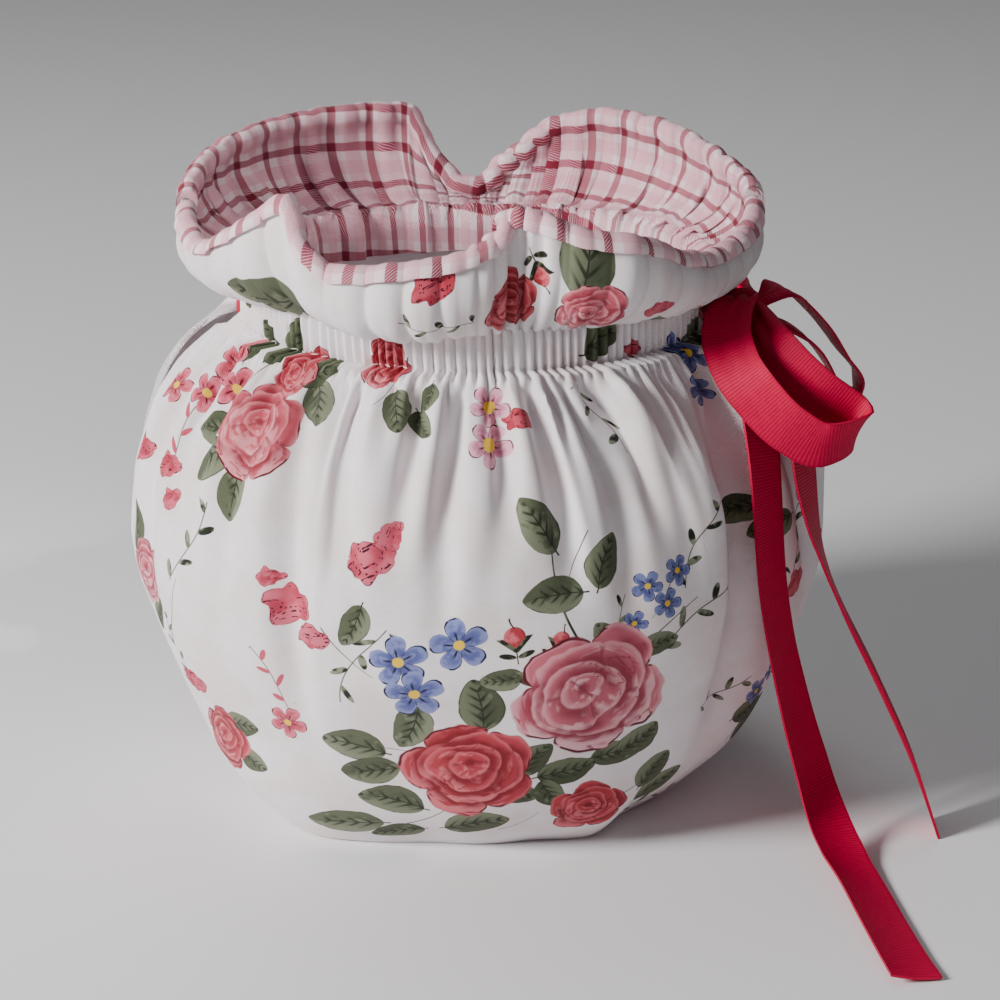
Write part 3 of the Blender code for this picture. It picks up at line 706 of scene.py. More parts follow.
# Colours are written as they look on screen, from 0 to 255.
ink = {
    "cloth": (247, 240, 243),
    # a painted pinkish shade tone, laid on the cotton and on the thread's twist
    "paintedShadeCloth": (243, 229, 229),
    "coralDark": (124, 20, 32), "coralMid": (180, 56, 66), "coralLight": (220, 110, 118),
    "pinkDark": (150, 54, 72), "pinkMid": (210, 110, 126), "pinkLight": (246, 192, 200),
    "blueMid": (90, 98, 156), "blueLight": (136, 144, 196), "navy": (20, 20, 56),
    "rosyDark": (154, 40, 64), "rosyMid": (200, 78, 98), "rosyLight": (224, 122, 138),
    "paleMid": (208, 128, 154), "paleLight": (236, 178, 196),
    "yellow": (236, 194, 62), "dash": (92, 16, 32), "bruise": (60, 14, 32),
    "leafDark": (32, 38, 24), "leafMid": (98, 104, 82), "leafLight": (134, 140, 116),
    "deepMid": (66, 74, 52), "deepLight": (100, 108, 82), "stem": (94, 96, 76),
}


def linear(color):
    # a screen colour, or the name of an ink, as the shader needs it
    color = ink[color] if isinstance(color, str) else color
    return tuple((value / 255.0) ** 2.2 for value in color) + (1.0,)


class Wire:
    # a number in a node tree, so that a sum of numbers can be written as one

    def __init__(self, tree, socket):
        self.tree = tree
        self.socket = socket

    def node(self, kind, values, output=0, **settings):
        made = self.tree.nodes.new(kind)
        for name, value in settings.items():
            setattr(made, name, value)
        for place, value in values.items():
            if isinstance(value, Wire):
                self.tree.links.new(value.socket, made.inputs[place])
            else:
                made.inputs[place].default_value = value
        return Wire(self.tree, made.outputs[output])

    def output(self, place):
        # another output of the same node
        return Wire(self.tree, self.socket.node.outputs[place])

    def feed(self, node, place):
        self.tree.links.new(self.socket, node.inputs[place])

    def math(self, kind, *others):
        return self.node("ShaderNodeMath", dict(enumerate((self, *others))), operation=kind)

    def __rsub__(self, other):
        return self.math("MULTIPLY_ADD", -1.0, other)

    def ramp(self, low, high):
        # 0 below low and 1 above high, with an eased step between
        values = {0: self, 1: low, 2: high, 3: 0.0, 4: 1.0}
        return self.node("ShaderNodeMapRange", values, interpolation_type="SMOOTHSTEP", clamp=False)

    def fall(self, low, high):
        return 1.0 - self.ramp(low, high)

    def mixed(self, low, high):
        # a colour that is low where this number is 0, and high where it is 1
        low, high = (one if isinstance(one, Wire) else linear(one) for one in (low, high))
        return self.node("ShaderNodeMix", {0: self, 6: low, 7: high}, 2, data_type="RGBA")

    def noise(self, y, z, scale, detail=1.0):
        vector = self.node("ShaderNodeCombineXYZ", {0: self, 1: y, 2: z})
        return vector.node("ShaderNodeTexNoise", {"Vector": vector, "Scale": scale, "Detail": detail})


# The wire's other sums: each is one node of its own.
sums = {
    "__add__": "ADD", "__radd__": "ADD", "__sub__": "SUBTRACT", "__mul__": "MULTIPLY",
    "__truediv__": "DIVIDE", "__pow__": "POWER", "__abs__": "ABSOLUTE",
    "root": "SQRT", "either": "MAXIMUM", "part": "FRACT", "floor": "FLOOR",
    "sine": "SINE", "cosine": "COSINE", "turnFrom": "ARCTAN2",
}
for name, kind in sums.items():
    setattr(Wire, name, functools.partialmethod(Wire.math, kind))


def length(x, y):
    return (x * x + y * y).root()


def band(value, middle, halfWidth, soft):
    # 1 where the value is near the middle
    return abs(value - middle).fall(halfWidth, halfWidth + soft)


# The motifs.  Each is painted in its own circle, with a number to draw chance from, and
# returns its colour and where it covers the cloth.
def paintRose(x, y, seed, tint):
    dark = tint.mixed("coralDark", "pinkDark")
    mid = tint.mixed("coralMid", "pinkMid")
    light = tint.mixed("coralLight", "pinkLight")
    patches = x.noise(y, seed + 7.3, 2.1, 2.0)
    warpX = (x.noise(y, seed, 1.6) - 0.5) * 0.34
    warpY = (patches - 0.5) * 0.30
    x, y = x + warpX, y + warpY
    strokes = (y.turnFrom(x) * 0.9).noise(length(x, y) * 5.0, seed + 3.1, 1.6, 2.0)
    glow = (strokes + (x * 0.16 + y * 0.10) * -1.0).ramp(0.50, 0.66)
    color, shape = mid, None
    # each ring of petals: centre, radius, petals, turn, and how deep its notches are
    rings = (
        (0.00, -0.02, 0.94, 5.0, 0.4, 0.24),
        (0.05, 0.03, 0.70, 4.0, 1.3, 0.16),
        (-0.03, 0.09, 0.49, 3.0, 2.6, 0.12),
        (0.02, 0.12, 0.27, 2.0, 0.2, 0.14),
    )
    for centreX, centreY, radius, petals, turn, notch in rings:
        dx, dy = x - centreX, y - centreY
        spin = dy.turnFrom(dx) + (seed * 1.7 + turn)
        lobe = abs((spin * (0.5 * petals)).sine()) ** 0.5
        inside = lobe * (radius * notch) + radius * (1.0 - notch) - length(dx, dy)
        under = (inside * -1.0).fall(-0.01, 0.20) * patches.ramp(0.36, 0.56) * 0.95
        color = under.mixed(color, dark)
        seam = lobe.fall(0.20, 0.50) * inside.ramp(0.01, 0.05) * 0.7
        petal = glow.mixed(mid, light)
        petal = (inside.fall(0.02, 0.10) * 0.55).mixed(petal, light)
        petal = (inside.ramp(0.10, 0.42) * 0.4).either(seam).mixed(petal, dark)
        cover = inside.ramp(-0.012, 0.016)
        color = cover.mixed(color, petal)
        if shape is None:
            shape = cover
            line = band(inside, 0.02, 0.014, 0.014) * strokes.ramp(0.47, 0.53)
            color = line.mixed(color, "dash")
    heart = length(x - 0.02, y - 0.12).fall(0.03, 0.13) * 0.9
    dashes = band(strokes, 0.5, 0.010, 0.012) * patches.ramp(0.50, 0.60) * 0.8
    return heart.either(dashes).mixed(color, dark), shape


def paintFlower(x, y, seed, tint):
    rosy, pale = tint.ramp(0.45, 0.55), tint.ramp(0.91, 0.94)
    dark = rosy.mixed("navy", "dash")
    mid = rosy.mixed("blueMid", pale.mixed("rosyMid", "paleMid"))
    light = rosy.mixed("blueLight", pale.mixed("rosyLight", "paleLight"))
    patches = x.noise(y, seed, 3.0, 2.0)
    away = length(x, y)
    turn = (y.turnFrom(x) * (2.5 / math.pi) + seed * 0.37).part() - 0.5
    fromMiddle = abs(turn) * 2.0
    inside = 0.95 - (fromMiddle ** 3.0) * 0.50 - away + (patches - 0.5) * 0.12
    color = inside.ramp(0.0, 0.34).mixed(light, mid)
    color = (patches.ramp(0.45, 0.60) * 0.7).mixed(color, light)
    color = (away.fall(0.20, 0.50) * 0.35).mixed(color, dark)
    seams = fromMiddle.ramp(0.84, 0.97) * away.ramp(0.2, 0.3) * 0.7
    arcs = band(inside, 0.045, 0.026, 0.02) * (turn + patches * 0.8).ramp(0.36, 0.50)
    strokes = away.fall(0.34, 0.58) * band(turn, 0.06, 0.05, 0.06)
    color = seams.either(arcs).either(strokes).mixed(color, dark)
    heart = away + patches * 0.1 - pale * 0.12
    return heart.fall(0.21, 0.25).mixed(color, "yellow"), inside.ramp(0.0, 0.03)


def paintLeaf(x, y, seed, tint):
    dark = "leafDark"
    mid = tint.mixed("leafMid", "deepMid")
    light = tint.mixed("leafLight", "deepLight")
    patches = x.noise(y, seed, 1.9, 2.0)
    body = (1.0 - x * x).either(0.0)
    side = y - body * ((seed * 1.9).sine() * 0.16)
    width = (body ** 0.62) * (0.64 - x * 0.12) + (patches - 0.5) * 0.12
    away = abs(side)
    inside = width - away
    color = (patches + side * 0.5).ramp(0.42, 0.56).mixed(mid, light)
    across = away / (width + 0.03)
    fan = (patches + across * -0.18 - x * 0.08).ramp(0.32, 0.40) * 0.9
    veins = band((x * 2.7 - away * 3.0 + seed * 0.31).part(), 0.5, 0.10, 0.14)
    fan = fan * across.fall(0.15, 0.75) * (veins * 0.7 + 0.3)
    rib = away.fall(0.014, 0.034) * x.fall(0.3, 0.8) * 0.9
    rim = inside.fall(0.03, 0.07) * patches.ramp(0.48, 0.54) * 0.9
    color = fan.either(rib).either(rim).mixed(color, dark)
    stalk = away.fall(0.02, 0.04) * band(x, -1.05, 0.12, 0.02)
    return color, (inside.ramp(0.0, 0.025) * body.ramp(0.0, 0.02)).either(stalk)


def paintBlossom(x, y, seed, tint):
    dark = "bruise"
    mid = tint.mixed("rosyMid", "coralMid")
    light = tint.mixed("rosyLight", "rosyMid")
    patches = x.noise(y, seed, 1.7, 1.0)
    lumps = abs((y.turnFrom(x) * 3.0 + seed).sine())
    taper = (x + 0.2).either(0.0) * 0.55
    inside = lumps * 0.10 + 0.62 + (patches - 0.5) * 0.55 - length(x * 0.8, y * (1.0 + taper))
    color = (patches.ramp(0.44, 0.60) * 0.55).mixed(mid, light)
    color = (patches.fall(0.34, 0.48) * 0.5).mixed(color, "rosyDark")
    turned = (patches - 0.5) * 9.0
    vector = x.node("ShaderNodeCombineXYZ", {0: x * 4.2 + turned, 1: y * 7.6 - x * 2.0, 2: seed})
    spots = x.node("ShaderNodeTexVoronoi", {"Vector": vector, "Scale": 1.0})
    marks = spots.fall(0.25, 0.31)
    rim = inside.fall(0.03, 0.07) * lumps.ramp(0.55, 0.70) * 0.7
    return marks.either(rim).mixed(color, dark), inside.ramp(0.0, 0.03)


def paintBud(x, y, seed, tint):
    grain = x.noise(y, seed, 3.0, 2.0)
    high = y - 0.20
    ball = 0.42 - length(x, high * 0.92)
    red = (grain - x * 0.35).ramp(0.40, 0.62).mixed("coralMid", "coralLight")
    red = (ball.fall(0.0, 0.12) * x.ramp(0.0, 0.2)).mixed(red, "coralDark")
    curl = x - (y * 5.0).sine() * 0.10
    tip = (0.05 - abs(curl)).ramp(0.0, 0.03) * band(y, 0.78, 0.22, 0.03)
    flare = abs(x) - (y + 0.38) * 0.95
    sepal = (0.15 - abs(flare)).ramp(0.0, 0.05) * band(y, -0.12, 0.30, 0.06)
    pair = 1.0 - length((abs(x) - 0.34) * 2.9, (y + 0.66 - abs(x) * 0.25) * 7.0)
    stem = (0.035 - abs(x)).ramp(0.0, 0.02) * band(y, -0.66, 0.30, 0.03)
    green = sepal.either(pair.ramp(0.0, 0.2)).either(stem).either(tip)
    leafy = (grain + tint * 0.1).ramp(0.46, 0.56).mixed("leafMid", "leafDark")
    return green.mixed(red, leafy), green.either(ball.ramp(0.0, 0.03))


def paintTwig(x, y, seed, tint):
    grain = x.noise(y, seed, 4.0, 1.0)
    y = y - (x * 2.1 + seed * 2.2).sine() * 0.17
    stem = (0.022 - abs(y)).ramp(0.0, 0.016) * band(x, 0.0, 0.95, 0.03)
    step = x * 2.4 + seed * 0.41
    near = step.part() - 0.5
    sideways = (step.floor() * math.pi).cosine()
    leafY = y * sideways - 0.14 - near * 0.34
    leaf = (1.0 - length(near * 2.7, leafY * 9.5)).ramp(0.0, 0.16) * band(x, 0.0, 0.9, 0.05)
    budded = tint.ramp(0.45, 0.55)
    leafy = grain.ramp(0.42, 0.58).mixed("leafDark", "leafLight")
    color = leaf.mixed("stem", budded.mixed(leafy, "rosyMid"))
    return color, leaf.either(stem)


def paintStem(x, y, seed, tint):
    bend = (1.0 - x * x) * (tint - 0.5) * 0.7
    half = (x * -0.3 + 1.0) * 0.020
    color = x.noise(y, seed, 5.0, 1.0).ramp(0.42, 0.60).mixed("stem", "leafDark")
    return color, (half - abs(y - bend)).ramp(0.0, 0.012) * band(x, 0.0, 0.98, 0.02)


# In painting order: how each kind is painted, how far it reaches in its own circle along x
# and y, and the richest paint that its faces need.
Kind = namedtuple("Kind", "paint reachX reachY rank")
kinds = {
    "stem": Kind(paintStem, 1.02, 0.40, 1),
    "twig": Kind(paintTwig, 1.02, 0.42, 1),
    "leaf": Kind(paintLeaf, 1.18, 0.96, 1),
    "blossom": Kind(paintBlossom, 1.0, 1.0, 2),
    "bud": Kind(paintBud, 0.72, 1.04, 2),
    "flower": Kind(paintFlower, 0.98, 0.98, 2),
    "rose": Kind(paintRose, 0.98, 0.98, 3),
}


def addSockets(tree, side, **sockets):
    # the named ways into or out of a group of nodes
    for name, kind in sockets.items():
        tree.interface.new_socket(name=name, in_out=side, socket_type="NodeSocket" + kind)


def makeMotifGroup(kind):
    # place holds x and y in the motif's own circle, and its number and tint in z
    tree = bpy.data.node_groups.new("motif_" + kind, "ShaderNodeTree")
    addSockets(tree, "INPUT", place="Vector")
    addSockets(tree, "OUTPUT", color="Color", cover="Float")
    source = Wire(tree, tree.nodes.new("NodeGroupInput").outputs[0])
    x = source.node("ShaderNodeSeparateXYZ", {0: source})
    y, code = x.output(1), x.output(2)
    color, cover = kinds[kind].paint(x, y, code.floor(), code.part())
    result = tree.nodes.new("NodeGroupOutput")
    color.feed(result, 0)
    cover.feed(result, 1)
    return tree


Motif = namedtuple("Motif", "kind across up radius turn tint")


def chartOf(*runs):
    return [Motif(kind, *place) for kind, *places in runs for place in places]


# The print's charts: each motif's place across and up from the hem, its radius, its turn
# and its tint, in millimetres of flat cloth and degrees.
frontChart = chartOf(
    ("rose", (-2, 46, 21.5, 20, 0.05), (31, 74, 24.5, 70, 0.9), (-78, 149, 17.4, 60, 0.38),
     (-88, 39, 15, 0, 0.15), (33, 25, 13.5, 30, 0), (13, 208, 12, 0, 0.1),
     (43, 205.5, 14, 50, 0.55), (-38, 177, 10, 0, 0.2), (-74, 170, 10, 120, 0.15),
     (-128, 90, 13, 40, 0.8), (128, 190, 13, 40, 0.15)),
    ("flower", (-22, 87, 9, 0, 0.1), (-6, 93, 9, 30, 0.1), (-17, 76, 9, 50, 0.1),
     (-110, 168, 8, 0, 0.9), (-98, 159, 8.5, 20, 0.9), (3, 164, 8, 10, 0.95),
     (2, 151, 8, 40, 0.95), (47, 107, 5, 0, 0.1), (57, 110, 5, 30, 0.1), (53, 101, 5, 60, 0.1),
     (43, 96, 4.5, 80, 0.1), (95, 173, 8, 0, 0.2), (90, 158, 7, 40, 0.2), (101, 54, 6, 0, 0.2),
     (109, 60, 5, 30, 0.2), (-58, 57, 7, 0, 0.8), (128, 128, 7, 0, 0.1), (-134, 152, 7, 0, 0.9)),
    ("blossom", (-32, 117, 9, 20, 0.1), (-27, 124, 6, 60, 0.2), (-57, 99, 9.5, 0, 0),
     (-48, 91, 7, 0, 0.1), (-64, 107, 4.5, 0, 0.2), (12, 158, 6, 0, 0.8), (-100, 59, 8, 0, 0.2),
     (-114, 130, 6, 0, 0.4), (-109, 121, 5, 30, 0.2), (-14, 226, 9, 0, 0.8),
     (69, 209, 7.5, 20, 0.1), (71, 178, 5, 0, 0.4)),
    ("flower", (-113, 155, 7, 50, 0.9)),
    ("blossom", (112, 92, 8, 0, 0.2), (134, 60, 9, 40, 0.2), (-138, 130, 8, 0, 0.3)),
    ("bud", (9, 94, 7.5, 10, 0.5), (21, 93, 6, -20, 0.5), (24, 218, 7, -150, 0.5),
     (120, 160, 7, 20, 0.5)),
    ("leaf", (-36, 53, 10, 170, 0.3), (-19, 63, 9, 250, 0.2), (-31, 44, 9, 190, 0.6),
     (-25, 30, 10, 165, 0.4), (-38, 17, 11, 185, 0.2), (0, 20, 10, 20, 0.5), (0, 72, 10, 100, 0.7),
     (-23, 12, 8, 200, 0.7), (17, 50, 8, 60, 0.8), (26, 44, 9, 15, 0.9), (22, 34, 7, 300, 0.8),
     (41, 48, 8, 0, 0.5), (60, 26, 11, 35, 0.3), (48, 54, 8, 40, 0.4), (55, 37, 9, 60, 0.5),
     (6, 82, 6, 190, 0.4), (16, 84, 6, 30, 0.6), (15, 127.5, 9.2, 125, 0.4),
     (34.5, 116, 8, 70, 0.5), (19, 107, 8.7, 185, 0.5), (34, 93, 6, 120, 0.3),
     (51, 88, 6, 20, 0.5), (104, 40, 11, 60, 0.9), (98, 48, 8, 20, 0.6), (-99, 146, 8, 200, 0.7),
     (-60, 160, 9, 290, 0.3), (-92, 136, 9, 220, 0.4), (-82, 128, 8, 270, 0.3),
     (-84, 206, 16, 155, 0.4), (-106, 175, 8, 120, 0.9), (-88, 178, 9, 60, 0.9),
     (-64, 170, 8, 20, 0.9), (-29, 160.5, 7.8, 280, 0.5), (-20, 157, 5.6, 300, 0.7),
     (-36, 97, 7, 250, 0.4), (-78, 48, 8, 10, 0.6), (-72, 36, 7, 340, 0.4), (39, 226, 14, 84, 0.6),
     (54, 182, 9, 20, 0.8), (92, 118, 7, 190, 0.8), (101, 113, 7, 200, 0.6),
     (-19, 166, 5.4, 250, 0.8), (112, 176, 9, 30, 0.6), (80, 196, 9, 20, 0.5),
     (140, 180, 9, 330, 0.4), (-118, 78, 8, 60, 0.5), (-138, 104, 9, 100, 0.4),
     (124, 136, 7, 40, 0.5), (-124, 188, 8, 30, 0.6), (12, 36, 7, 340, 0.7)),
    ("stem", (26, 106, 23, 108, 0.8), (26, 117, 9, 250, 0.4), (-37, 88, 11, 318, 0.35),
     (-25, 53, 9, 355, 0.6), (-22, 21, 16, 30, 0.2), (12, 21, 8, 40, 0.3), (51, 34, 12, 30, 0.35),
     (53, 92, 14, 40, 0.7), (52, 104, 8, 240, 0.6), (-33, 170, 10, 250, 0.6),
     (-90, 166, 14, 70, 0.4), (-104, 84, 14, 80, 0.6), (97, 46, 14, 70, 0.4),
     (6, 172, 8, 80, 0.5)),
    ("twig", (-97, 110, 17, 70, 0), (37, 96, 10, 60, 0), (64, 94, 16, 30, 0), (84, 60, 13, 15, 0),
     (41, 158, 13, 280, 0), (66, 116, 14, 60, 0), (-33, 84, 15, 250, 0), (-113, 140, 13, 80, 0.9),
     (66, 12, 16, 10, 0), (-62, 74, 12, 120, 0.9), (-106, 72, 11, 100, 0), (116, 108, 16, 60, 0),
     (138, 96, 16, 80, 0.9), (-14, 212, 13, 160, 0), (96, 200, 14, 10, 0.9)),
)
backChart = chartOf(
    ("rose", (6, 62, 19, 40, 0.1), (-32, 82, 19, 10, 0.9), (92, 128, 17, 30, 0.15),
     (-98, 132, 16, 80, 0.05), (84, 30, 16, 10, 0.85), (-88, 26, 14, 50, 0.1),
     (-30, 210, 14, 30, 0.2), (48, 206, 13, 70, 0.1), (118, 206, 12, 20, 0.8),
     (-124, 204, 12, 60, 0.15)),
    ("flower", (30, 88, 9, 0, 0.1), (44, 80, 9, 30, 0.1), (33, 72, 8, 60, 0.1),
     (-6, 152, 8, 10, 0.9), (-14, 140, 8, 40, 0.9), (-64, 52, 6, 10, 0.2), (-72, 62, 6, 50, 0.2),
     (112, 78, 8, 0, 0.1), (122, 88, 7, 30, 0.1), (-128, 84, 8, 0, 0.9), (6, 214, 8, 0, 0.2),
     (-80, 200, 7, 0, 0.9)),
    ("blossom", (58, 116, 9, 0, 0.1), (66, 126, 6, 30, 0.2), (-54, 118, 9, 20, 0.1),
     (-118, 56, 8, 0, 0.4), (44, 26, 9, 0, 0.2), (20, 178, 8, 0, 0.6), (-66, 176, 8, 40, 0.3),
     (88, 188, 7, 0, 0.6)),
    ("bud", (12, 96, 7, 10, 0.5), (-46, 22, 7, 30, 0.5), (74, 162, 7, -20, 0.5),
     (-112, 168, 7, 20, 0.5)),
    ("leaf", (-12, 56, 9, 200, 0.5), (2, 36, 10, 250, 0.4), (22, 44, 10, 330, 0.6),
     (-26, 54, 10, 230, 0.3), (-56, 90, 9, 160, 0.5), (-40, 106, 10, 110, 0.4),
     (52, 94, 9, 50, 0.6), (54, 70, 8, 340, 0.4), (112, 140, 9, 30, 0.5), (78, 112, 9, 230, 0.7),
     (86, 150, 9, 100, 0.4), (-118, 122, 9, 200, 0.5), (-84, 148, 9, 60, 0.6),
     (-82, 116, 8, 320, 0.4), (66, 40, 9, 150, 0.5), (102, 20, 9, 340, 0.6), (96, 50, 9, 70, 0.4),
     (-104, 34, 9, 170, 0.5), (-74, 36, 8, 30, 0.7), (-50, 204, 10, 170, 0.5),
     (-12, 222, 9, 30, 0.6), (66, 216, 9, 20, 0.4), (30, 196, 9, 200, 0.6), (104, 220, 9, 90, 0.5),
     (-106, 196, 8, 330, 0.6), (-2, 122, 8, 280, 0.5), (10, 138, 8, 330, 0.7),
     (124, 62, 8, 300, 0.4), (-138, 66, 8, 250, 0.6), (136, 150, 9, 60, 0.5)),
    ("stem", (-14, 112, 16, 100, 0.7), (60, 104, 14, 60, 0.35), (-62, 102, 14, 120, 0.6),
     (94, 152, 14, 80, 0.4), (66, 30, 14, 340, 0.6), (-46, 30, 12, 200, 0.4),
     (-108, 74, 14, 100, 0.6), (118, 66, 12, 110, 0.4)),
    ("twig", (14, 112, 14, 80, 0), (-70, 84, 15, 60, 0.9), (-36, 150, 15, 100, 0),
     (44, 150, 16, 80, 0.9), (90, 84, 16, 100, 0), (-18, 20, 15, 170, 0), (126, 36, 14, 80, 0.9),
     (-124, 150, 14, 60, 0), (128, 116, 13, 100, 0), (16, 14, 14, 20, 0), (-112, 96, 14, 60, 0),
     (84, 204, 13, 10, 0)),
)


def placesIn(motif, places):
    # flat places in the motif's own circle, along x and y
    turn = math.radians(motif.turn)
    across, up = ((places - [motif.across, motif.up]) / motif.radius).T
    x = across * math.cos(turn) + up * math.sin(turn)
    return x, up * math.cos(turn) - across * math.sin(turn)


def layMotifs(piece, flat, outerCount, chart):
    # Writes each motif's own coordinates on the faces that it covers, in as few layers as
    # keep the motifs of one layer apart.  Returns the layers' names in painting order, and
    # the faces that each one prints.
    mesh = piece.data
    corners = cornerNumbers(mesh)
    starts = np.empty(len(mesh.polygons), np.int32)
    mesh.polygons.foreach_get("loop_start", starts)
    faceOfCorner = np.repeat(np.arange(len(starts)), np.diff(np.append(starts, len(corners))))
    places = flat[corners]
    outerFace = np.ones(len(starts), bool)
    outerFace[faceOfCorner[corners >= outerCount]] = False
    unprinted = [9.0, 9.0, 0.5]  # outside every motif's circle
    leastTint, mostTint = 0.01, 0.95  # so that a tint never reads as the next number
    printed = {}
    for kind, (_, reachX, reachY, _) in kinds.items():
        layers = []
        for number, motif in enumerate(chart):
            if motif.kind != kind:
                continue
            x, y = placesIn(motif, places)
            near = (np.abs(x) < reachX) & (np.abs(y) < reachY)
            taken = np.zeros(len(starts), bool)
            taken[faceOfCorner[near]] = True
            taken &= outerFace
            layer = next((one for one in layers if not np.any(one[0] & taken)), None)
            if layer is None:
                far = np.full((len(corners), 3), unprinted, np.float32)
                layer = (np.zeros(len(starts), bool), far)
                layers.append(layer)
            layer[0][taken] = True
            tinted = np.full_like(x, number + min(max(motif.tint, leastTint), mostTint))
            filled = taken[faceOfCorner]
            layer[1][filled] = np.stack([x, y, tinted], axis=1)[filled]
        for count, (taken, values) in enumerate(layers):
            name = kind + str(count)
            attribute = mesh.attributes.new(name=name, type="FLOAT_VECTOR", domain="CORNER")
            attribute.data.foreach_set("vector", values.ravel())
            printed[name] = taken
    return printed


def kindOf(layer):
    return layer.rstrip("0123456789")


def printCloth(piece, printed, groups):
    # each face takes the material that holds just the kinds printed on it
    rank = np.zeros(len(piece.data.polygons), np.int32)
    for name, taken in printed.items():
        rank[taken] = np.maximum(rank[taken], kinds[kindOf(name)].rank)
    for number, title in enumerate(("plain", "leafy", "flowery", "rosy")):
        layers = [name for name, taken in printed.items() if np.any(taken & (rank == number))]
        material = makeCotton(piece.name + "_" + title, layers, groups)
        piece.data.materials.append(material)
    piece.data.polygons.foreach_set("material_index", rank)


# The printed cotton.  Bumps are in millimetres.
cotton = {
    "threadPitch": 0.34,
    "threadShade": 0.018,
    "threadBump": 0.10,
    "slubShade": 0.10,
    "slubBump": 0.10,
    "crinkleBump": 0.22,
    "roughness": 0.86,
    "sheen": 0.08,
    "specular": 0.25,
}


def newMaterial(name, look):
    # returns the material, its surface shader and a wire to start from
    material = bpy.data.materials.new(name)
    material.use_nodes = True
    tree = material.node_tree
    shader = tree.nodes["Principled BSDF"]
    shader.inputs["Roughness"].default_value = look["roughness"]
    shader.inputs["Sheen Weight"].default_value = look["sheen"]
    shader.inputs["Specular IOR Level"].default_value = look["specular"]
    return material, shader, Wire(tree, None)


def flatPlace(start):
    # the place on the flat cloth, across and up
    place = start.node("ShaderNodeUVMap", {}, uv_map="flatCloth")
    across = place.node("ShaderNodeSeparateXYZ", {0: place})
    return across, across.output(1)


def weave(u, v):
    # plain weave: threads over and under in turn
    over = (u * (math.pi / cotton["threadPitch"])).sine()
    return over * (v * (math.pi / cotton["threadPitch"])).sine()


def connectBump(shader, height, distance):
    values = {"Strength": 1.0, "Distance": distance * mm, "Height": height}
    height.node("ShaderNodeBump", values, "Normal").feed(shader, "Normal")


def toneAndWeaveShade(shader, color, slubs, threads, look):
    # the yarn's own random unevenness in the colour, and painted light and shade on the weave:
    # lighter where its threads stand up, darker where they dip
    toneAndShade = (slubs - 0.5) * look["slubShade"] + threads * look["threadShade"] + 1.0
    shaded = toneAndShade.node("ShaderNodeVectorMath", {0: color, 3: toneAndShade}, operation="SCALE")
    shaded.feed(shader, "Base Color")


def makeCotton(name, layers, groups):
    material, shader, start = newMaterial(name, cotton)
    u, v = flatPlace(start)
    slubs = (u * 0.25).noise(v * 2.4, 1.7, 1.0, 2.0)
    threads = weave(u, v)
    # painted pinkish shade, laid over the cloth in soft random patches, not tied to the folds
    shadePatches = u.noise(v, 4.2, 0.05, 2.0)
    color = shadePatches.ramp(0.40, 0.66).mixed("cloth", "paintedShadeCloth")
    for layer in layers:
        place = u.node("ShaderNodeAttribute", {}, "Vector", attribute_name=layer)
        motif = place.node("ShaderNodeGroup", {}, node_tree=groups[kindOf(layer)])
        place.feed(motif.socket.node, 0)
        color = motif.output(1).mixed(color, motif)
    toneAndWeaveShade(shader, color, slubs, threads, cotton)
    crinkle = u.noise(v, 8.0, 0.35, 3.0)
    height = threads * cotton["threadBump"] + slubs * cotton["slubBump"]
    connectBump(shader, height + crinkle * cotton["crinkleBump"], 1.0)
    return material


# The checked cotton: its pitch, the dark lines and the pale stripes between, in millimetres.
check = {
    "pitch": 14.6,
    "lineHalfWidth": 1.45,
    "stripeHalfWidth": 2.7,
    "hatchPitch": 1.0,
    "shift": 6.2,
    "warp": (3.0, 2.0),
    "stripeInk": 0.38,
    "stripeTwill": 0.25,
    "lineInk": 0.46,
    "lineTwill": 0.46,
    "crossInk": 0.95,
    "ground": (248, 222, 227),
    "stripe": (231, 160, 175),
    "line": (154, 26, 64),
    "cross": (120, 16, 44),
    "threadShade": 0.02,
    "threadBump": 0.10,
    "slubShade": 0.12,
    "slubBump": 0.12,
    "crinkleBump": 0.25,
    "roughness": 0.88,
    "sheen": 0.1,
    "specular": 0.25,
}


def makeCheck(name):
    material, shader, start = newMaterial(name, check)
    u, v = flatPlace(start)
    warpU = (u.noise(v, 0.5, 0.03, 1.0) - 0.5) * check["warp"][0] + check["shift"]
    warpV = (u.noise(v, 6.5, 0.03, 1.0) - 0.5) * check["warp"][1]
    hatch = ((u + v) / check["hatchPitch"]).part()
    twill = band(hatch, 0.5, 0.26, 0.12)
    color = check["ground"]
    lines = []
    lineHalf = check["lineHalfWidth"] / check["pitch"]
    stripeHalf = check["stripeHalfWidth"] / check["pitch"]
    for place in (u + warpU, v + warpV):
        spot = (place / check["pitch"]).part()
        lines.append(band(spot, 0.5, lineHalf, 0.02))
        stripe = 1.0 - band(spot, 0.5, 0.5 - stripeHalf, 0.03)
        cover = stripe * (twill * check["stripeTwill"] + check["stripeInk"])
        color = cover.mixed(color, check["stripe"])
    cover = lines[0].either(lines[1]) * (twill * check["lineTwill"] + check["lineInk"])
    color = cover.mixed(color, check["line"])
    color = (lines[0] * lines[1] * check["crossInk"]).mixed(color, check["cross"])
    threads = weave(u, v)
    slubs = (u * 0.3).noise(v * 2.0, 3.3, 1.0, 2.0)
    toneAndWeaveShade(shader, color, slubs, threads, check)
    height = threads * check["threadBump"] + slubs * check["slubBump"]
    connectBump(shader, height + u.noise(v, 5.0, 0.4, 3.0) * check["crinkleBump"], 1.0)
    return material


# The ribbon is grosgrain: fine ribs across it, and a firm edge.
grosgrain = {
    "ribPitch": 0.95,
    "ribBump": 0.06,
    "threadPitch": 0.3,
    "threadBump": 0.03,
    "edgeWidth": 0.7,
    "edgeFade": 0.1,
    "rib": (198, 6, 66),
    "grooveShade": (134, 0, 44),
    "roughness": 0.40,
    "sheen": 0.0,
    "specular": 0.13,
}


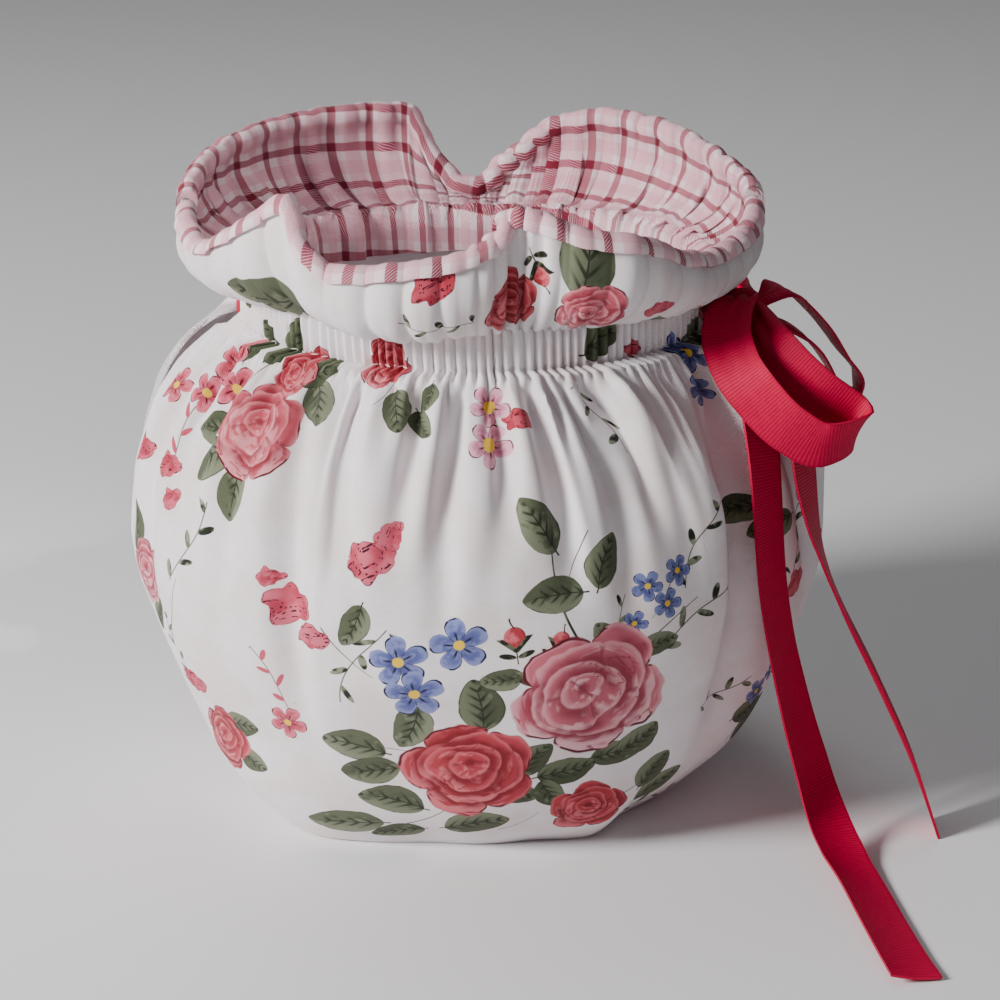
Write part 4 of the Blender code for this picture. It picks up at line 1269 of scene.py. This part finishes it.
def makeGrosgrain(name):
    material, shader, start = newMaterial(name, grosgrain)
    u, v = flatPlace(start)
    uneven = (u * 0.7).noise(v * 0.7, 2.2, 1.0, 2.0)
    ribs = (v * (2.0 * math.pi / grosgrain["ribPitch"])).sine() * 0.5 + 0.5
    threads = (u * (2.0 * math.pi / grosgrain["threadPitch"])).sine() * 0.5 + 0.5
    edge = 0.5 * ribbon["width"] - grosgrain["edgeWidth"]
    atEdge = abs(u).ramp(edge, edge + grosgrain["edgeFade"])
    # darker red in the grooves between the ribs: painted shade, mixed with the ribbon's own random
    # unevenness. The firm edges take the same darker red.
    deep = (1.0 - ribs) * 0.45 + (uneven - 0.5) * 0.5
    color = deep.mixed(grosgrain["rib"], grosgrain["grooveShade"])
    (atEdge * 0.35).mixed(color, grosgrain["grooveShade"]).feed(shader, "Base Color")
    ((1.0 - ribs) * 0.2 + grosgrain["roughness"]).feed(shader, "Roughness")
    height = ribs * (1.0 - atEdge * 0.7) * grosgrain["ribBump"] + threads * grosgrain["threadBump"]
    connectBump(shader, height, 1.0)
    return material


# The ribbon, in millimetres: each stretch is a flat ribbon through its stations.
ribbon = {
    "width": 15.0,
    "thickness": 0.8,
    "cup": 0.9,
    "cupMiddle": 0.35,
    "cupChange": 0.6,
    "puckers": 2.5,
    "puckerDepth": 0.75,
    "puckerReach": 15.0,
    "puckerWaver": 0.4,
    "narrowPucker": 0.9,
    "rowLength": 1.3,
    "leastRows": 12,
    "columns": 15,
    "floorGap": 0.05,
}

Station = namedtuple("Station", "x y z acrossX acrossY acrossZ width")
bridge = rows(
    Station, (-70.4, -8.2, 157.5, 0, 0, 1, 13), (-72.6, -4, 157.5, 0, 0, 1, 13),
    (-73.4, 0, 157.5, 0, 0, 1, 13), (-72.6, 4, 157.5, 0, 0, 1, 13),
    (-70.4, 8.2, 157.5, 0, 0, 1, 13),
)
leadFront = rows(
    Station, (70.8, -8, 157.4, 0, 0, 1, 12.5), (75.6, -8, 157.6, 0, 0, 1, 10.5),
    (78.6, -16.6, 157.6, 0, 0, 1, 8),
)
leadBack = rows(
    Station, (70.8, 7.8, 157.4, 0, 0, 1, 12), (76.6, 4.6, 158, 0, 0, 1, 11),
    (81.6, -4, 158.2, 0, 0, 1, 9), (82, -16.6, 158, 0, 0, 1, 8),
)
loopFront = rows(
    Station, (80, -25, 161.4, 0.97, -0.1, 0.05, 8), (77.4, -31, 163.4, 0.96, -0.1, 0.1, 12),
    (74.2, -37.6, 160.6, 0.94, -0.06, 0.22, 14.5), (73.2, -45, 155.6, 0.9, -0.03, 0.36, 15),
    (75.2, -52.4, 149.4, 0.85, 0, 0.5, 15), (81, -59, 142, 0.72, -0.05, 0.68, 15),
    (91, -62, 132.5, 0.52, -0.1, 0.86, 15), (101, -61, 127.5, 0.4, -0.18, 0.91, 15),
    (108.5, -58, 128.5, 0.34, -0.25, 0.91, 15), (112.2, -54, 130.4, 0.34, -0.25, 0.9, 15),
    (109.4, -51.6, 133.2, 0.42, -0.2, 0.88, 15), (100.4, -52.2, 139.8, 0.54, -0.12, 0.83, 15),
    (90, -48.6, 148.8, 0.6, -0.08, 0.8, 15), (84, -38, 155.4, 0.6, -0.04, 0.8, 12.5),
    (82, -27.4, 158, 0.6, 0, 0.8, 9),
)
loopBack = rows(
    Station, (82.6, -21.6, 158.6, 0, 1, 0, 7), (86.4, -20.8, 160.8, 0, 1, 0, 9),
    (90.4, -17.6, 161.9, -0.15, 0.98, 0, 12.5), (94.5, -10, 159.8, -0.35, 0.93, 0, 15),
    (104, -3.5, 150, -0.3, 0.95, 0, 15), (112, 2, 138, -0.2, 0.98, 0, 15),
    (118, 6, 128, -0.1, 1, 0, 15), (118, 8, 122, 0, 1, 0, 15), (114, 8, 121, 0, 1, 0, 15),
    (110, 5.5, 129.5, -0.1, 1, 0, 15), (102, -2, 142, -0.2, 0.98, 0, 15),
    (91.4, -16, 151.4, -0.2, 0.95, 0, 12), (83.4, -21.4, 155, 0, 1, 0, 8),
)
tailLong = rows(
    Station, (78.8, -24.2, 152.4, 0.95, 0.25, 0, 9), (79.5, -36, 147.6, 0.8, 0.55, 0, 11.5),
    (82, -48, 138, 0.68, 0.73, 0, 15), (84, -55.5, 123, 0.64, 0.77, 0, 15),
    (85.5, -59, 106, 0.6, 0.8, 0, 15), (87, -60, 88, 0.58, 0.81, 0, 15),
    (90.4, -59.5, 65.6, 0.56, 0.83, 0, 15), (95.5, -58.5, 43, 0.62, 0.78, 0, 15),
    (100.5, -58.5, 25.5, 0.7, 0.71, -0.02, 15), (104.5, -61.5, 13, 0.8, 0.58, -0.06, 15),
    (108, -69, 5.6, 0.9, 0.38, -0.14, 15), (110.6, -81, 3, 0.95, 0.18, -0.22, 15),
    (113.4, -97, 2.7, 0.96, 0.08, -0.26, 15), (116.4, -120, 2.6, 0.96, 0.08, -0.24, 15),
    (119.4, -140, 2.2, 0.96, 0.1, -0.2, 15), (121.6, -152, 1.8, 0.96, 0.12, -0.14, 15),
)
tailShort = rows(
    Station, (82, -18.6, 152.2, 0.6, 0.8, 0, 7), (90, -27.5, 146.2, 0.55, 0.8, 0.2, 10.5),
    (95, -41, 131, 0.48, 0.84, 0.1, 15), (97, -48.5, 115, 0.46, 0.88, 0, 15),
    (99.6, -49.8, 101, 0.3, 0.95, 0, 15), (103.6, -50, 87, 0.08, 1, 0, 15),
    (108.8, -50, 73.8, 0, 1, 0, 15), (121, -50, 48.5, 0, 1, 0, 15), (132.4, -50, 23.5, 0, 1, 0, 15),
    (140.9, -50, 0.1, 0, 1, 0, 15),
)

# pulled says at which ends the knot puckers the ribbon.
Stretch = namedtuple("Stretch", "name stations pulled seed")
stretches = rows(
    Stretch, ("bridge", bridge, (), 1), ("lead_front", leadFront, (-1,), 2),
    ("lead_back", leadBack, (-1,), 3), ("loop_front", loopFront, (0, -1), 4),
    ("loop_back", loopBack, (0, -1), 5), ("tail_long", tailLong, (0,), 6),
    ("tail_short", tailShort, (0,), 7),
)


def makeStretch(stretch):
    # returns the strip and its length
    table = np.array(stretch.stations, float)
    run = lengths(table[:, :3])
    steps = max(int(run[-1] / ribbon["rowLength"]), ribbon["leastRows"])
    at = np.linspace(0.0, run[-1], steps + 1)
    table = np.stack([smoothCurve(at, run, values) for values in table.T], axis=1)
    middle, across, width = table[:, :3], table[:, 3:6], table[:, 6]
    along = unit(np.gradient(middle, axis=0))
    across = unit(across - along * np.sum(across * along, axis=1, keepdims=True))
    normal = np.cross(across, along)
    spots = np.linspace(-1.0, 1.0, ribbon["columns"])
    narrowed = 1.0 - width / ribbon["width"]
    pull = np.zeros(steps + 1)
    for end in stretch.pulled:
        pull = np.maximum(pull, np.exp(-np.abs(at - at[end]) / ribbon["puckerReach"]))
    chaos = np.random.default_rng(stretch.seed)
    phase = wander(at / at[-1], 5, ribbon["puckerWaver"], stretch.seed) + chaos.uniform(0.0, 1.0)
    cupping = 0.5 + wander(at / at[-1], 6, ribbon["cupChange"], stretch.seed + 20)
    lift = ribbon["cup"] * (ribbon["cupMiddle"] - spots[None, :] ** 2) * cupping[:, None]
    waves = np.sin(math.pi * (ribbon["puckers"] * spots[None, :] + phase[:, None]))
    lift = lift * np.clip(1.0 - pull[:, None], 0.0, 1.0)
    pull = pull + ribbon["narrowPucker"] * narrowed
    lift = lift + ribbon["puckerDepth"] * pull[:, None] * waves
    face = middle[:, None] + 0.5 * (width[:, None] * spots)[..., None] * across[:, None]
    face = face + lift[..., None] * normal[:, None]
    half = 0.5 * ribbon["thickness"] * normal[:, None]
    face[..., 2] = np.maximum(face[..., 2], np.abs(half[..., 2]) + ribbon["floorGap"])
    flat = np.stack(np.broadcast_arrays(0.5 * ribbon["width"] * spots[None, :], at[:, None]), axis=2)
    name = "ribbon_" + stretch.name + "_strip"
    piece, _, _ = closedSheet(name, face + half, face - half, flat, flat)
    return piece, float(at[-1])


# The knot: a turn of ribbon pulled tight round the rest, in millimetres.
knot = {
    "middle": (79.5, -22.0, 157.0),
    "half": (5.6, 7.2, 6.4),
    "squareness": 2.6,
    "creases": 2.5,
    "creaseDepth": 0.07,
    "creaseSwing": 0.35,
    "lumpDepth": 0.05,
    "flatRadius": 7.0,
    "steps": 72,
    "rows": 30,
}


def makeKnot():
    turn = np.linspace(0.0, 2.0 * math.pi, knot["steps"], endpoint=False)
    t = np.sin(np.linspace(-0.5, 0.5, knot["rows"] + 1) * math.pi)[1:-1]
    power = 2.0 / knot["squareness"]
    x = np.sign(np.cos(turn)) * np.abs(np.cos(turn)) ** power
    z = np.sign(np.sin(turn)) * np.abs(np.sin(turn)) ** power
    place = knot["creases"] * t[:, None] + knot["creaseSwing"] * np.sin(turn + 0.6)[None, :]
    lumps = knot["lumpDepth"] * np.sin(2.0 * turn + 1.0)[None, :]
    swell = 1.0 + knot["creaseDepth"] * ridges(place) + lumps
    radius = ((1.0 - np.abs(t) ** 3.2) ** 0.4)[:, None] * swell
    halfX, halfY, halfZ = knot["half"]
    y = np.broadcast_to(t[:, None] * halfY, radius.shape)
    ring = np.stack([radius * x * halfX, y, radius * z * halfZ], axis=2)
    points = np.concatenate([ring.reshape(-1, 3), [[0.0, -halfY, 0.0], [0.0, halfY, 0.0]]])
    numbers = np.arange(radius.size).reshape(radius.shape)
    wrapped = np.concatenate([numbers, numbers[:, :1]], axis=1)
    faces = gridFaces(wrapped)
    for row, pole in ((wrapped[0], radius.size), (wrapped[-1], radius.size + 1)):
        faces += [(int(a), int(b), pole) for a, b in zip(row[:-1], row[1:])]
    flatY = np.append(np.tile(turn * knot["flatRadius"], len(t)), [0.0, 0.0])
    flatX = np.append(y.ravel(), [-halfY, halfY])
    flat = np.stack([flatX, flatY], axis=1)
    return makePiece("ribbon_knot_turn", points + knot["middle"], faces, flat)


# The sewing thread along both edges of the gathered band, in millimetres.
stitching = {
    "pitch": 3.1,
    "length": 2.3,
    "thickness": 0.32,
    "unevenness": 0.15,
    "seed": 5,
    "lift": 0.12,
    "twistScale": 900.0,
    "twistBump": 0.06,
    "color": (250, 240, 238),
    "roughness": 0.7,
    "sheen": 0.3,
    "specular": 0.5,
}


def makeStitchTree(material):
    # a row of stitches along each line of the mesh that it is given
    tree = bpy.data.node_groups.new("stitch_row", "GeometryNodeTree")
    addSockets(tree, "INPUT", line="Geometry", pitch="Float", length="Float",
               thickness="Float", unevenness="Float", seed="Int")
    addSockets(tree, "OUTPUT", stitches="Geometry")
    line = Wire(tree, tree.nodes.new("NodeGroupInput").outputs["line"])
    uneven, thickness = line.output("unevenness"), line.output("thickness")
    curve = line.node("GeometryNodeMeshToCurve", {"Mesh": line})
    values = {"Curve": curve, "Length": line.output("pitch")}
    spots = line.node("GeometryNodeCurveToPoints", values, mode="LENGTH")
    bead = line.node("GeometryNodeMeshUVSphere", {"Segments": 8, "Rings": 6, "Radius": 0.5})
    values = {2: 1.0 - uneven, 3: uneven + 1.0, "Seed": line.output("seed")}
    chance = line.node("FunctionNodeRandomValue", values, 1)
    values = {0: thickness, 1: thickness, 2: line.output("length") * chance}
    size = line.node("ShaderNodeCombineXYZ", values)
    values = {"Points": spots, "Rotation": spots.output("Rotation"), "Instance": bead, "Scale": size}
    place = line.node("GeometryNodeInstanceOnPoints", values)
    real = line.node("GeometryNodeRealizeInstances", {"Geometry": place})
    finish = line.node("GeometryNodeSetMaterial", {"Geometry": real, "Material": material})
    finish.feed(tree.nodes.new("NodeGroupOutput"), 0)
    return tree


def makeThread():
    material, shader, start = newMaterial("sewing_thread", stitching)
    spots = start.node("ShaderNodeTexCoord", {}, "Object")
    values = {"Vector": spots, "Scale": stitching["twistScale"], "Detail": 2.0}
    twist = spots.node("ShaderNodeTexNoise", values)
    # darker where the twist's bump is low: painted shade in its grooves, in the pinkish shade colour
    twist.ramp(0.35, 0.65).mixed("paintedShadeCloth", stitching["color"]).feed(shader, "Base Color")
    connectBump(shader, twist, stitching["twistBump"])
    return material


def makeStitches(name, seams, tree, material):
    # a mesh of stitches along the seams, and nothing else of what made them
    points = (np.concatenate(seams) * mm).tolist()
    edges = []
    start = 0
    for seam in seams:
        edges += [(start + i, start + i + 1) for i in range(len(seam) - 1)]
        start += len(seam)
    line = bpy.data.meshes.new(name + "_line")
    line.from_pydata(points, edges, [])
    maker = addObject(name + "_line", line)
    modifier = maker.modifiers.new("stitches", "NODES")
    modifier.node_group = tree
    for item in tree.interface.items_tree:
        if item.in_out == "INPUT" and item.name in stitching:
            scale = 1.0 if item.name in ("seed", "unevenness") else mm
            modifier[item.identifier] = type(stitching[item.name])(stitching[item.name] * scale)
    graph = bpy.context.evaluated_depsgraph_get()
    mesh = bpy.data.meshes.new_from_object(maker.evaluated_get(graph))
    bpy.data.objects.remove(maker)
    mesh.name = name
    if not mesh.materials:
        mesh.materials.append(material)
    mesh.shade_smooth()
    return addObject(name, mesh)


def settle(piece, slot, *nodes):
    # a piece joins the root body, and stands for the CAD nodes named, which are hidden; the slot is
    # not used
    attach(piece, "root")
    if nodes:
        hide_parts(*nodes)


makeCamera()
motifGroups = {kind: makeMotifGroup(kind) for kind in kinds}
thread = makeThread()
stitchTree = makeStitchTree(thread)
for panel, chart in ((front, frontChart), (back, backChart)):
    piece, flat, outerCount, seams = makePanel(panel)
    printed = layMotifs(piece, flat, outerCount, chart)
    printCloth(piece, printed, motifGroups)
    settle(piece, "floral_cotton", panel.name + "_panel")
    settle(makeStitches(panel.name + "_stitches", seams, stitchTree, thread), "floral_cotton")
    print(panel.name, "panel made, print in", len(printed), "layers")

checked = makeCheck("check_cotton")
for panel in (front, back):
    piece = makeFacing(panel)
    piece.data.materials.append(checked)
    settle(piece, "check_cotton", panel.name + "_facing")
    print(panel.name, "facing made")

ribbed = makeGrosgrain("grosgrain")
knotPiece = makeKnot()
knotPiece.data.materials.append(ribbed)
settle(knotPiece, "ribbon", "ribbon_knot")
for stretch in stretches:
    piece, runLength = makeStretch(stretch)
    piece.data.materials.append(ribbed)
    settle(piece, "ribbon", "ribbon_" + stretch.name)
    runLength * mm
print("ribbon made")


# The floor, the walls of light and the lamps.  Sizes are in metres, powers in watts.
studio = {
    "floorRadius": 3.0,
    "floorSteps": 96,
    "floorRings": 24,
    "floorFlatShare": 0.55,
    "floorRise": 0.9,
    "floorColor": (0.86, 0.85, 0.86),
    "worldColor": (0.93, 0.94, 0.97),
    "worldStrength": 0.12,
    "floorRoughness": 0.9,
}

# The grid lamp has a honeycomb in front, so that it lights the inside of the neck alone.
Lamp = namedtuple("Lamp", "name place aim size spread power color")
lamps = rows(
    Lamp, ("key", (-1.30, -0.76, 0.80), (0.0, 0.0, 0.10), 0.5, 180.0, 46.0, (1.0, 0.985, 0.985)),
    ("front", (0.25, -1.6, 0.9), (0.0, 0.0, 0.09), 0.8, 180.0, 0.6, (1.0, 0.99, 1.0)),
    ("top", (-0.1, 0.6, 1.4), (0.0, 0.0, 0.1), 0.7, 180.0, 3.0, (1.0, 1.0, 1.0)),
    ("grid", (0.41, -0.65, 1.17), (-0.08, 0.035, 0.175), 0.1, 9.0, 0.018, (1.0, 0.98, 0.98)),
)


def makeFloor():
    # rings of faces round the middle, that rise a little towards the far edge
    steps, rings = studio["floorSteps"], studio["floorRings"]
    radii = np.linspace(0.0, 1.0, rings + 1)[1:] ** 1.5 * studio["floorRadius"]
    turn = np.linspace(0.0, 2.0 * math.pi, steps, endpoint=False)
    points = [(0.0, 0.0, 0.0)]
    for radius in radii:
        past = max(radius / studio["floorRadius"] - studio["floorFlatShare"], 0.0)
        rise = studio["floorRise"] * past ** 2
        points += [(radius * math.cos(a), radius * math.sin(a), rise) for a in turn]
    faces = [(0, 1 + i, 1 + (i + 1) % steps) for i in range(steps)]
    for ring in range(rings - 1):
        low, high = 1 + ring * steps, 1 + (ring + 1) * steps
        for i in range(steps):
            j = (i + 1) % steps
            faces.append((low + i, high + i, high + j, low + j))
    mesh = bpy.data.meshes.new("floor")
    mesh.from_pydata(points, [], faces)
    mesh.shade_smooth()
    floor = addObject("floor", mesh)
    material = bpy.data.materials.new("studio_paper")
    material.use_nodes = True
    shader = material.node_tree.nodes["Principled BSDF"]
    shader.inputs["Base Color"].default_value = (*studio["floorColor"], 1.0)
    shader.inputs["Roughness"].default_value = studio["floorRoughness"]
    mesh.materials.append(material)


def makeLight():
    world = bpy.data.worlds.new("studio_air")
    bpy.context.scene.world = world
    world.use_nodes = True
    air = world.node_tree.nodes["Background"]
    air.inputs["Color"].default_value = (*studio["worldColor"], 1.0)
    air.inputs["Strength"].default_value = studio["worldStrength"]

    for lamp in lamps:
        light = bpy.data.lights.new(lamp.name, "AREA")
        light.shape = "DISK"
        light.size = lamp.size
        light.spread = math.radians(lamp.spread)
        light.energy = lamp.power
        light.color = lamp.color
        holder = addObject(lamp.name, light)
        holder.location = lamp.place
        toward = Vector(lamp.aim) - Vector(lamp.place)
        holder.rotation_euler = toward.to_track_quat("-Z", "Y").to_euler()


makeFloor()
makeLight()
print("studio made")
